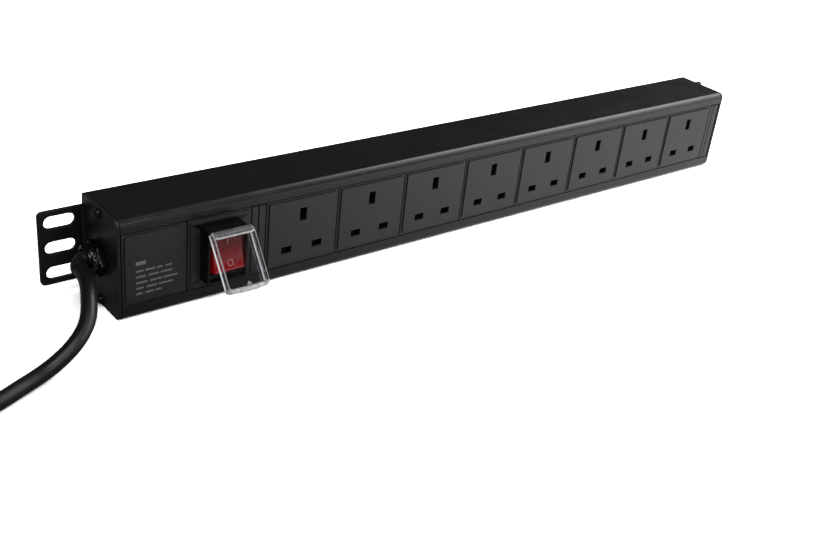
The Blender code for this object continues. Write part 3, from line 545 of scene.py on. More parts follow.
# --- the lead, its coil and its plug --------------------------------------------
def spline(controls, samples):
    """A clamped cubic B-spline through a few control points, as evenly spaced points along its length."""
    count = len(controls)
    knots = [0.0] * 4 + [float(i) for i in range(1, count - 3)] + [float(count - 3)] * 4

    def value(t):
        span = 3
        while span < count - 1 and t >= knots[span + 1]:
            span += 1
        work = [Vector(controls[span - 3 + i]) for i in range(4)]
        for level in range(1, 4):
            for i in range(3, level - 1, -1):
                left = knots[span - 3 + i]
                right = knots[span + 1 + i - level]
                blend = 0.0 if right == left else (t - left) / (right - left)
                work[i] = work[i - 1].lerp(work[i], blend)
        return work[3]

    fine = [value((count - 3) * i / 400) for i in range(401)]
    lengths = [0.0]
    for a, b in zip(fine, fine[1:]):
        lengths.append(lengths[-1] + (b - a).length)
    points, k = [], 0
    for i in range(samples):
        wanted = lengths[-1] * i / (samples - 1)
        while k < 399 and lengths[k + 1] < wanted:
            k += 1
        step = lengths[k + 1] - lengths[k]
        points.append(fine[k].lerp(fine[k + 1], min(1.0, max(0.0, (wanted - lengths[k]) / step))))
    return points


BOOT_START = Vector((-269.1 * MM, GLAND[0], GLAND[1]))
BOOT_BEND = 7.7 * MM
BOOT_TURN = math.radians(88.0)
BOOT_DROOP = math.radians(3.6)
OUT = Vector((-1.0, 0.0, 0.0))
SIDE = Vector((0.0, -math.cos(BOOT_DROOP), -math.sin(BOOT_DROOP)))

LEAD_Z = LEAD / 2 + 0.05 * MM
COIL_LOW, COIL_TOP = 1.1 * MM, 18.8 * MM
COIL_RADIUS, COIL_PITCH = 44.5 * MM, 9.0 * MM
OUTER_TURN = COIL_RADIUS + COIL_PITCH
CLEAR_OF_COIL = 31.8 * MM
PLUG_AT = (COIL[0] - OUTER_TURN, COIL[1] + 57.0 * MM)
PLUG_ENTRY_Z, PLUG_SPLIT, PLUG_FACE = 10.5 * MM, 12.6 * MM, 20.5 * MM


def ease(t, start, end):
    t = min(1.0, max(0.0, (t - start) / (end - start)))
    return t * t * (3 - 2 * t)


def coil_points():
    """Three turns inwards on the lower layer, then outwards on the upper one."""
    points, turns, per_turn = [], 5.25, 24
    low, high = COIL_LOW + LEAD / 2, COIL_TOP - LEAD / 2
    for i in range(int(turns * per_turn) + 1):
        t = i / per_turn
        radius = OUTER_TURN - COIL_PITCH * (ease(t, 0.8, 1.0) + ease(t, 1.8, 2.0))
        radius += COIL_PITCH * (ease(t, 3.4, 3.6) + ease(t, 4.4, 4.6))
        z = low + (high - low) * ease(t, 2.58, 2.88)
        angle = -math.pi / 2 - 2 * math.pi * t
        points.append(Vector((COIL[0] + radius * math.cos(angle), COIL[1] + radius * math.sin(angle), z)))
    return points


def lead_points():
    heading = math.cos(BOOT_TURN) * OUT + math.sin(BOOT_TURN) * SIDE
    tip = BOOT_START + BOOT_BEND * (math.sin(BOOT_TURN) * OUT + (1 - math.cos(BOOT_TURN)) * SIDE)
    start = tip + heading * GAP
    entry = Vector((COIL[0] + CLEAR_OF_COIL, COIL[1] - OUTER_TURN, LEAD_Z + 0.6 * MM))
    controls = [start, start + heading * 4.5 * MM, start + heading * 10.2 * MM]
    controls += [Vector(p) * MM for p in (
        (-285.0, -15.2, 27.3), (-290.0, -24.3, 20.9), (-302.6, -33.5, 14.8),
        (-317.7, -35.0, 6.2), (-335.2, -41.3, 5.2))]
    controls += [entry + Vector((15 * MM, 0.6 * MM, -0.4 * MM)), entry + Vector((7 * MM, 0, -0.2 * MM)), entry]
    run = spline(controls, 27)
    coil = coil_points()
    join = [run[-1].lerp(coil[0], 0.36), run[-1].lerp(coil[0], 0.72)]
    top = COIL_TOP - LEAD / 2
    x, y = PLUG_AT
    tail = spline([coil[-1], coil[-1] + Vector((0, 12 * MM, 0)), Vector((x, COIL[1] + CLEAR_OF_COIL - 5 * MM, top - 0.6 * MM)),
                   Vector((x, COIL[1] + CLEAR_OF_COIL + 10 * MM, top - 1.8 * MM)), Vector((x, y - 8 * MM, PLUG_ENTRY_Z)),
                   Vector((x, y - GAP, PLUG_ENTRY_Z))], 8)
    return run + join + coil + tail[1:]


def smooth_curve(name, points, radius, finish):
    """A round cord along points, as one open Bezier line with even handles."""
    curve = bpy.data.curves.new(name, "CURVE")
    curve.dimensions = "3D"
    curve.bevel_depth = radius
    curve.bevel_resolution = 6
    curve.resolution_u = 4
    curve.use_fill_caps = True
    line = curve.splines.new("BEZIER")
    line.bezier_points.add(len(points) - 1)
    for i, (target, point) in enumerate(zip(line.bezier_points, points)):
        before, after = points[max(0, i - 1)], points[min(len(points) - 1, i + 1)]
        along = (after - before).normalized()
        target.handle_left_type = target.handle_right_type = "FREE"
        target.co = point
        target.handle_left = point - along * (point - before).length / 3
        target.handle_right = point + along * (after - point).length / 3
    curve.materials.append(finish)
    obj = bpy.data.objects.new(name, curve)
    bpy.context.scene.collection.objects.link(obj)
    obj.location = (0.0, PLATE_Y, 0.0)
    return obj


def boot():
    """The bent strain relief: a collar in the gland, then a tapering sleeve drawn in a little at its end."""
    rings, count = [], 34
    up = OUT.cross(SIDE)
    for i in range(count + 1):
        share = i / count
        angle = BOOT_TURN * share
        point = BOOT_START + BOOT_BEND * (math.sin(angle) * OUT + (1 - math.cos(angle)) * SIDE)
        across = math.cos(angle) * SIDE - math.sin(angle) * OUT
        radius = (4.75 + 1.4 * max(0.0, 1.0 - share / 0.45)) * MM
        if share > 0.93:
            radius -= 0.2 * MM * ((share - 0.93) / 0.07) ** 2
        rings.append([point + radius * (math.cos(a) * across + math.sin(a) * up)
                      for a in (2 * math.pi * k / 36 for k in range(36))])
    return place("relief_boot", loft(rings), RUBBER, "strain_relief_boot", "rubber_black")


def strap():
    """A hook-and-loop strap round the coil, with its free end lying over the outer side."""
    middle = (COIL_RADIUS + 0.1 * MM, (0.85 * MM + COIL_TOP + 0.35 * MM) / 2)
    width, height = 2 * COIL_PITCH + LEAD + 1.6 * MM, COIL_TOP + 0.35 * MM - 0.85 * MM
    rings = []
    across = [-6.0, -5.85, -5.4, 0.0, 5.4, 5.85, 6.0]
    inset = [0.28, 0.10, 0.0, 0.0, 0.0, 0.10, 0.28]
    for y, d in zip(across, inset):
        rings.append([(u, y * MM, v) for u, v in rounded(width + 1.5 * MM - 2 * d * MM, height + 1.5 * MM - 2 * d * MM, 5.4 * MM, 8, middle)])
    for y, d in zip(across[::-1], inset[::-1]):
        rings.append([(u, y * MM, v) for u, v in rounded(width + 2 * d * MM, height + 2 * d * MM, 4.7 * MM, 8, middle)])
    tab = prism(rounded(11.4 * MM, 13.0 * MM, 2.5 * MM, 5, (0.0, middle[1] + 0.5 * MM)), middle[0] + width / 2 + 0.78 * MM, middle[0] + width / 2 + 1.45 * MM, "X")
    shape = joined(loft(rings, closed=True), tab)
    return place("lead_strap", shape, STRAP, "coil_tie", "strap_black", at=(*COIL, 0.0), turn=(0.0, 0.0, math.radians(35)))


def plug():
    """A rewirable plug on its back with its pins up."""
    earth = 35.0 * MM
    line = earth - PIN_SPACING

    def outline(grow):
        w = 1.0
        points = [(-7.5 * MM * w, 0.0), (7.5 * MM, 0.0), (18.0 * MM - grow, 3.5 * MM)]
        points += arc((20.0 * MM - grow, 8.5 * MM), 4.5 * MM, -60, 0, 6)
        points += arc((17.5 * MM - grow, 38.0 * MM), 7.0 * MM, 0, 80, 9)
        points += arc((-17.5 * MM + grow, 38.0 * MM), 7.0 * MM, 100, 180, 9)
        points += arc((-20.0 * MM + grow, 8.5 * MM), 4.5 * MM, 180, 240, 6)
        points += [(-18.0 * MM + grow, 3.5 * MM)]
        return points

    at = (*PLUG_AT, 0.0)
    rings = []
    for z, grow in ((0.05, 3.2), (0.35, 2.2), (0.9, 1.6), (1.8, 1.05), (3.2, 0.6), (5.5, 0.3), (8.5, 0.1), (12.2, 0.0), (12.6, 0.25)):
        rings.append([(u, v, z * MM) for u, v in outline(grow * MM)])
    shell = loft(rings)
    ribs = []
    for side in (-1, 1):
        for k in range(7):
            v = (15.0 + 2.6 * k) * MM
            ribs.append(prism(rounded(1.3 * MM, 7.0 * MM, 0.6 * MM, 4, (v, 7.6 * MM)), side * 23.6 * MM, side * 24.75 * MM, "X"))
    cover = place("plug_shell", joined(shell, *ribs), PLUG, "plug_cover", "plug_moulding", at=at)
    holes = []
    pins = {
        "earth": (0.0, earth, 3.975 * MM, 7.925 * MM, 22.7 * MM),
        "live": (-PIN_SPACING / 2, line, 6.35 * MM, 3.975 * MM, 17.7 * MM),
        "neutral": (PIN_SPACING / 2, line, 6.35 * MM, 3.975 * MM, 17.7 * MM),
    }
    for x, y, w, h, _ in pins.values():
        holes.append(rectangle(w + 0.5 * MM, h + 0.5 * MM, (x, y)))
    screw_hole = circle(2.9 * MM, 28, (0.0, 24.6 * MM))
    face = plate([softened(outline(0.0), 1.0 * MM), *holes, screw_hole], PLUG_SPLIT + GAP, PLUG_FACE, 0.9 * MM, "Z", 3)
    fuse = plate([rounded(10.0 * MM, 27.0 * MM, 1.0 * MM, 4, (0.0, 0.0))], PLUG_FACE - 0.4 * MM, PLUG_FACE + 0.1 * MM, 0.1 * MM, "Z", 1)
    bmesh.ops.transform(fuse, matrix=Matrix.Translation((0.0, 12.4 * MM, 0.0)) @ Matrix.Rotation(math.pi / 2, 4, "Z") @ Matrix.Diagonal((0.6, 0.42, 1.0, 1.0)), verts=fuse.verts)
    base = place("plug_face", joined(face, fuse), PLUG, "plug_base", "plug_moulding", at=at)
    screw = turned([(-0.3 * MM, 0.0), (-0.3 * MM, 1.9 * MM), (-0.7 * MM, 2.4 * MM), (-1.2 * MM, 2.55 * MM), (-5.0 * MM, 2.55 * MM), (-5.0 * MM, 0.0)], 28)
    screw = cut(screw, box((-1.3 * MM, -2.9 * MM, -0.35 * MM), (1.0 * MM, 2.9 * MM, 0.35 * MM)))
    bmesh.ops.transform(screw, matrix=Matrix.Translation((0.0, 24.6 * MM, PLUG_FACE)) @ Matrix.Rotation(-math.pi / 2, 4, "Y"), verts=screw.verts)
    screw = place("plug_screw", screw, STEEL, slot="steel", at=at)
    pieces = [cover, base, screw]
    for label, (x, y, w, h, length) in pins.items():
        top = PLUG_FACE + length

        def ring(z, inset, corner=0.45):
            return [(x + u, y + v, z) for u, v in rounded(w - 2 * inset, h - 2 * inset, corner * MM, 3)]

        metal = loft([ring(PLUG_FACE - 4.0 * MM, 0.12 * MM), ring(top - 2.2 * MM, 0.12 * MM), ring(top - 1.4 * MM, 0.2 * MM),
                      ring(top - 0.5 * MM, 0.55 * MM), ring(top - 0.1 * MM, 0.85 * MM), ring(top, 1.05 * MM)])
        pieces.append(place(f"pin_{label}", metal, BRASS, f"plug_pin_{label}", "brass", at=at))
        if label != "earth":
            sleeve_top = PLUG_FACE + 9.0 * MM
            sleeve = loft([ring(PLUG_FACE - 3.5 * MM, 0.0), ring(sleeve_top - 0.15 * MM, 0.0), ring(sleeve_top, 0.10 * MM),
                           ring(sleeve_top, 0.125 * MM), ring(PLUG_FACE - 3.5 * MM, 0.125 * MM)], closed=True)
            pieces.append(place(f"pin_sleeve_{label}", sleeve, PLUG, slot="plug_moulding", at=at))
    return pieces


LEAD_POINTS = lead_points()
lead = smooth_curve("lead", LEAD_POINTS, LEAD / 2, PVC)
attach(lead, "strip")
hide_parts("lead_run", "lead_coil", "lead_tail")
relief = boot()
tie = strap()
plug_pieces = plug()


# --- housing --------------------------------------------------------------------
def screw_port(centre_z, sign):
    outer, hole, wall = 3.1 * MM, 1.55 * MM, 1.8 * MM
    wall_z = wall if sign > 0 else BODY_HEIGHT - wall
    root = math.degrees(math.asin(abs(wall_z - centre_z) / outer))
    centre = (GLAND[0] + 0.3 * MM, centre_z)
    mouth = 32.0
    if sign > 0:
        return (arc(centre, outer, 180 + root, 90 + mouth, 8) + arc(centre, hole, 90 + mouth, 450 - mouth, 22)
                + arc(centre, outer, 90 - mouth, -root, 8))
    return (arc(centre, outer, root, -90 + mouth, 8) + arc(centre, hole, -90 + mouth, 270 - mouth, 22)
            + arc(centre, outer, 270 - mouth, 180 - root, 8))


def body_corners(steps=12):
    f, r = 4.0 * MM, 2.5 * MM
    return (arc((BODY_FRONT + f, BODY_HEIGHT - f), f, 180, 90, steps)
            + arc((BODY_REAR - r, BODY_HEIGHT - r), r, 90, 0, steps)
            + arc((BODY_REAR - r, r), r, 0, -90, steps)
            + arc((BODY_FRONT + f, f), f, -90, -180, steps))


def housing():
    wall = 1.8 * MM
    lip = BODY_FRONT + 1.9 * MM
    rail = (5.1 * MM, 6.3 * MM)
    back = BODY_REAR - wall
    outline = [(BODY_FRONT, 54.5 * MM)] + body_corners() + [(BODY_FRONT, 8.5 * MM)]
    outline += [(lip, 8.5 * MM), (lip, 5.0 * MM), (rail[0], 5.0 * MM)]
    outline += [(rail[0], 8.0 * MM), (rail[1], 8.0 * MM), (rail[1], wall)]
    outline += screw_port(3.95 * MM, 1)
    outline += [(back, wall), (back, BODY_HEIGHT - wall)]
    outline += screw_port(58.55 * MM, -1)
    outline += [(rail[1], BODY_HEIGHT - wall), (rail[1], 55.0 * MM), (rail[0], 55.0 * MM)]
    outline += [(rail[0], 58.0 * MM), (lip, 58.0 * MM), (lip, 54.5 * MM)]
    shape = prism(softened(outline, 0.3 * MM), -HALF, HALF, "X")
    place("housing_profile", shape, ANODISED, "housing_extrusion", "anodised_black", sharp=40)


def bracket(side, node):
    holes = [circle(1.7 * MM, 20, (22.6 * MM, z)) for z in (3.95 * MM, 58.55 * MM)]
    if side < 0:
        holes.append(circle(8.3 * MM, 48, GLAND))
    ends = sorted((side * INNER_X, side * END_X))
    end = plate([body_corners(), *holes], ends[0], ends[1], 0.35 * MM, "X", 2)
    tip, low, high, r = END_X + 26.8 * MM, 8.7 * MM, 55.1 * MM, 3.0 * MM
    root = END_X - 1.2 * MM
    outline = [(root, low)] + arc((tip - r, low + r), r, -90, 0, 8) + arc((tip - r, high - r), r, 0, 90, 8) + [(root, high)]
    middle = (low + high) / 2
    slots = [stadium(18.2 * MM, 7.7 * MM, (END_X + 14.2 * MM, middle + k * 15.875 * MM)) for k in (-1, 0, 1)]
    if side < 0:
        outline = [(-u, v) for u, v in outline]
        slots = [[(-u, v) for u, v in points] for points in slots]
    ear = plate([outline, *slots], BODY_REAR - 2.0 * MM, BODY_REAR, 0.3 * MM, "Y", 2)
    # The inside of the bend, where the end plate turns into the ear.
    bend = 1.8 * MM
    corner = (side * (END_X - 0.05 * MM), BODY_REAR - 1.95 * MM)
    fillet = [corner, (corner[0] + side * bend, corner[1])]
    for k in range(1, 8):
        a = math.pi / 2 * k / 8
        fillet.append((corner[0] + side * bend * (1 - math.sin(a)), corner[1] - bend * (1 - math.cos(a))))
    fillet.append((corner[0], corner[1] - bend))
    web = prism(fillet, low + 0.3 * MM, high - 0.3 * MM, "Z")
    place(f"bracket_{node}", joined(end, ear, web), COATED, f"end_bracket_{node}", "powder_coat_black")


def screws():
    profile = [(-2.1, 0.0), (-2.1, 0.9), (-1.98, 1.5), (-1.7, 2.1), (-1.25, 2.6), (-0.75, 2.88), (-0.3, 3.0), (-0.05, 3.0),
               (0.0, 2.95), (0.0, 1.2), (11.2, 1.2), (12.0, 0.6), (12.0, 0.0)]
    head = turned([(x * MM, r * MM) for x, r in profile], 40)
    arms = []
    for angle in (0.4, 0.4 + math.pi / 2):
        blade = loft([[(x * MM, u * s, v * t) for u, v in ((-1, -1), (1, -1), (1, 1), (-1, 1))]
                      for x, s, t in ((-3.0, 1.95 * MM, 0.45 * MM), (-0.75, 0.7 * MM, 0.28 * MM))])
        bmesh.ops.rotate(blade, verts=blade.verts, matrix=Matrix.Rotation(angle, 3, "X"))
        arms.append(blade)
    shape = head
    for blade in arms:
        shape = cut(shape, blade)
    mesh = mesh_of(shape, "screw", 35)
    for side, label in ((-1, "left"), (1, "right")):
        for z, level in ((3.95, "lower"), (58.55, "upper")):
            place(f"screw_{label}_{level}", mesh, SCREW, f"end_screw_{label}_{level}", "black_zinc",
                  at=(side * (END_X + GAP), 22.6 * MM, z * MM), turn=(0.0, 0.0, 0.0 if side < 0 else math.pi))


# --- modules --------------------------------------------------------------------
def module(width, holes=(), corner=0.7, inset=1.9 * MM):
    """A raised plate on a recessed face, with the flange that slides in the housing's grooves."""
    raised = width - 2 * inset
    front = plate([rounded(raised, 42.0 * MM, corner * MM, 6), *holes], 0.0, 1.6 * MM, 0.16 * MM)
    middle = plate([rounded(width - 0.6 * MM, 45.1 * MM, 0.3 * MM, 3, (0.0, -0.2 * MM)), *holes], 0.95 * MM, 3.2 * MM, 0.12 * MM)
    flange = plate([rectangle(width - 0.8 * MM, 51.0 * MM), *holes], 2.7 * MM, 4.7 * MM, 0.2 * MM, resolution=1)
    return front, middle, flange


def module_mesh(parts, name):
    """The module's faces in charcoal, and its sides and the walls of its openings in a much darker tone: painted shade
    in the gaps and openings.
    """
    mesh = mesh_of(joined(*parts), name)
    mesh.materials.append(MOULDED)
    mesh.materials.append(SIDE_SHADE)
    # Faces that don't face front or back get the painted shade.
    for face in mesh.polygons:
        if abs(face.normal.y) < 0.3:
            face.material_index = 1
    return mesh


def pin_slots():
    low = PIN_Z - PLATE_Z
    return [rectangle(7.2 * MM, 4.5 * MM, (-PIN_SPACING / 2, low)), rectangle(7.2 * MM, 4.5 * MM, (PIN_SPACING / 2, low)),
            rectangle(4.8 * MM, 8.5 * MM, (0.0, low + PIN_SPACING))]


def sockets():
    mesh = module_mesh(module(52.0 * MM, pin_slots()), "socket_plate")
    for index in range(1, 9):
        low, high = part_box(f"socket_face_{index}")
        place(f"socket_plate_{index}", mesh, None, f"socket_face_{index}", "module_grey",
              at=((low.x + high.x) / 2, 0.0, PLATE_Z))


def fillers():
    for label in ("left_outer", "left_inner", "right_inner", "right_outer"):
        low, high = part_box(f"filler_strip_{label}")
        face = high.x - low.x
        rib = plate([rounded(face - 0.25 * MM, 44.8 * MM, 0.5 * MM, 3, (0.0, -0.3 * MM))], 0.8 * MM, 3.0 * MM, 0.4 * MM, resolution=3)
        flange = plate([rectangle(face - 0.5 * MM, 51.0 * MM)], 2.7 * MM, 4.7 * MM, 0.2 * MM, resolution=1)
        place(f"rib_{label}", module_mesh((rib, flange), f"rib_{label}"), None, f"filler_strip_{label}", "module_grey",
              at=((low.x + high.x) / 2, 0.0, PLATE_Z))


def label():
    low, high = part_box("label_module")
    middle = (low.x + high.x) / 2
    width = high.x - low.x + GAP
    mesh = module_mesh(module(width, corner=2.2), "label_plate")
    place("label_plate", mesh, None, "label_module", "module_grey", at=(middle, 0.0, PLATE_Z))
    # Plain dashes where such a module has its printing: one bolder one, then five rows.
    rows = [(34.9, 2.3, [(-251.0, -244.8)])]
    rows.append((29.9, 1.05, [(-251.0, -246.2), (-245.2, -239.0), (-238.0, -234.6), (-232.9, -228.8)]))
    rows.append((26.3, 1.05, [(-251.0, -245.0), (-243.4, -236.9), (-236.0, -228.6)]))
    rows.append((22.6, 1.05, [(-251.0, -244.0), (-242.3, -235.0), (-234.1, -225.4)]))
    rows.append((19.1, 1.05, [(-251.0, -246.4), (-244.6, -238.0), (-237.1, -228.4)]))
    rows.append((15.6, 1.05, [(-251.0, -247.2), (-245.4, -240.0), (-239.1, -235.4)]))
    dashes = []
    for z, height, spans in rows:
        for a, b in spans:
            dashes.append(prism(rounded((b - a) * MM, height * MM, 0.3 * MM, 3, ((a + b) / 2 * MM, z * MM)), -0.035 * MM, 0.02 * MM, "Y"))
    place("label_dashes", joined(*dashes), INK, slot="module_grey")


def switch_surround():
    """The switch's module, with its oblong collar whose rim stands further out at the top."""
    low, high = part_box("switch_module")
    middle = (low.x + high.x) / 2
    dx, dz = SWITCH.x - middle, SWITCH.z - PLATE_Z
    opening = rectangle(22.8 * MM, 28.2 * MM, (dx, dz))
    parts = list(module(high.x - low.x + GAP, [opening], corner=1.6))
    slope = 1.2 / 34.7
    w, h = 26.2 * MM, 34.7 * MM
    rings = []

    def ring(width, height, radius, y, tilt=True):
        y *= MM
        rings.append([(dx + u, y - (slope * v if tilt else 0.0), dz + v) for u, v in rounded(width, height, radius * MM, 6)])

    ring(w, h, 1.2, 1.3, False)
    ring(w, h, 1.2, -8.85)
    ring(w - 0.16 * MM, h - 0.16 * MM, 1.15, -9.05)
    ring(w - 0.5 * MM, h - 0.5 * MM, 1.0, -9.2)
    ring(w - 2.2 * MM, h - 2.2 * MM, 0.6, -9.2)
    ring(w - 2.6 * MM, h - 2.6 * MM, 0.5, -9.1)
    ring(w - 2.8 * MM, h - 2.8 * MM, 0.45, -8.85)
    ring(w - 2.8 * MM, h - 2.8 * MM, 0.45, -3.7, False)
    ring(22.8 * MM, 28.2 * MM, 0.3, -3.7, False)
    ring(22.8 * MM, 28.2 * MM, 0.3, 1.3, False)
    parts.append(loft(rings, closed=True))
    pivot = (COVER_PIVOT[0], COVER_PIVOT[1] - PLATE_Z)
    lug = [(-9.0 * MM, pivot[1] - 1.5 * MM)] + arc(pivot, 1.6 * MM, -90, -270, 20) + [(-9.0 * MM, dz + h / 2 - 0.1 * MM)]
    bore = circle(0.8 * MM, 20, pivot)
    for side in (-1, 1):
        ends = sorted((dx + side * 10.6 * MM, dx + side * 12.1 * MM))
        parts.append(plate([lug, bore], ends[0], ends[1], 0.2 * MM, "X", 2))
    mesh = mesh_of(joined(*parts), "switch_surround")
    mesh.materials.append(MOULDED)
    mesh.materials.append(COLLAR)
    for face in mesh.polygons:
        if face.center.y < -0.02 * MM or face.center.y < 1.4 * MM and abs(face.center.x - dx) < 13.2 * MM and abs(face.center.z - dz) < 17.5 * MM:
            face.material_index = 1
    place("switch_surround", mesh, None, "switch_module", "module_grey", at=(middle, 0.0, PLATE_Z))


def switch():
    """The switch's black frame and the case behind it."""
    frame_part = plate([rounded(23.0 * MM, 31.5 * MM, 0.8 * MM, 5), rounded(20.7 * MM, 25.2 * MM, 0.5 * MM, 4)], -5.6 * MM, -3.98 * MM, 0.3 * MM)
    case = loft([[(u, y * MM, v) for u, v in rounded(a * MM, b * MM, r * MM, 4)] for y, a, b, r in (
        (-4.2, 22.2, 27.6, 0.4), (16.6, 22.2, 27.6, 0.4), (17.0, 21.6, 27.0, 0.4))][::-1]
        + [[(u, y * MM, v) for u, v in rounded(20.7 * MM, 25.2 * MM, 0.4 * MM, 4)] for y in (-4.2, 4.5)])
    place("switch_frame", joined(frame_part, case), INNER, "switch_body", "inner_black", at=tuple(SWITCH))


def rocker_front(z):
    dish = 1.0 - (z / (10.0 * MM)) ** 2
    return -9.26 * MM + 0.9 * MM * max(0.0, dish)


def rocker():
    outline = []
    for i in range(29):
        z = (-10.0 + 20.0 * i / 28) * MM
        outline.append((rocker_front(z), z))
    outline += [(y * MM, z * MM) for y, z in (
        (-9.1, 10.35), (-8.6, 10.6), (-4.6, 11.2), (-1.0, 12.0), (1.5, 11.9), (3.0, 9.0), (3.0, -9.0), (1.5, -11.9),
        (-1.0, -12.0), (-4.6, -11.2), (-8.6, -10.6), (-9.1, -10.35))]
    shape = prism(outline, -10.0 * MM, 9.3 * MM, "X")
    at = (SWITCH.x, -1.0 * MM, SWITCH.z)
    turn = (math.radians(-11.0), 0.0, 0.0)
    place("rocker_button", shape, RED, "power_rocker", "red_rocker", body="rocker", at=at, turn=turn, bevel=0.4 * MM, sharp=30)

    def inlay(points_outer, points_inner, name):
        """A shallow printed mark that follows the dished face."""
        bm = bmesh.new()

        def row(points, lift):
            return [bm.verts.new((u, rocker_front(v) - lift, v)) for u, v in points]

        if points_inner is None:
            low, high = row(points_outer, -0.1 * MM), row(points_outer, 0.03 * MM)
            count = len(low)
            for i in range(count):
                j = (i + 1) % count
                bm.faces.new((low[i], low[j], high[j], high[i]))
            # A strip across, so that the front follows the dish.
            half = count // 2
            for i in range(half - 1):
                bm.faces.new((high[i], high[i + 1], high[count - 2 - i], high[count - 1 - i]))
                bm.faces.new((low[i], low[i + 1], low[count - 2 - i], low[count - 1 - i]))
        else:
            rows = [row(points_outer, -0.1 * MM), row(points_outer, 0.03 * MM), row(points_inner, 0.03 * MM), row(points_inner, -0.1 * MM)]
            for a, b in zip(rows, rows[1:] + rows[:1]):
                for i in range(len(a)):
                    j = (i + 1) % len(a)
                    bm.faces.new((a[i], a[j], b[j], b[i]))
        place(name, bm, WHITE_INK, slot="red_rocker", body="rocker", at=at, turn=turn)

    side = [(0.26 * MM, (5.9 + 3.7 * i / 12) * MM) for i in range(13)]
    inlay([(-0.1 * MM + u, v) for u, v in side] + [(-0.1 * MM - u, v) for u, v in side[::-1]], None, "rocker_mark_on")
    # Painted highlight: a thin light pink strip along the bottom edge of the dished face.
    low, high = -9.72 * MM, -9.42 * MM
    edge = [(-9.5 * MM + 18.3 * MM * i / 12, low) for i in range(13)]
    bm = bmesh.new()
    rows = [[bm.verts.new((u, rocker_front(v) - lift, v)) for u, _ in edge]
            for v, lift in ((low, -0.1 * MM), (low, 0.03 * MM), (high, 0.03 * MM), (high, -0.1 * MM))]
    for a, b in zip(rows, rows[1:] + rows[:1]):
        for i in range(len(edge) - 1):
            bm.faces.new((a[i], a[i + 1], b[i + 1], b[i]))
    for i in (0, len(edge) - 1):
        bm.faces.new([row[i] for row in rows])
    place("rocker_painted_edge_highlight", bm, ROCKER_EDGE_HIGHLIGHT, slot="red_rocker", body="rocker", at=at, turn=turn)
    centre = (0.65 * MM, -5.9 * MM)
    inlay(circle(2.0 * MM, 48, centre), circle(1.58 * MM, 48, centre), "rocker_mark_off")


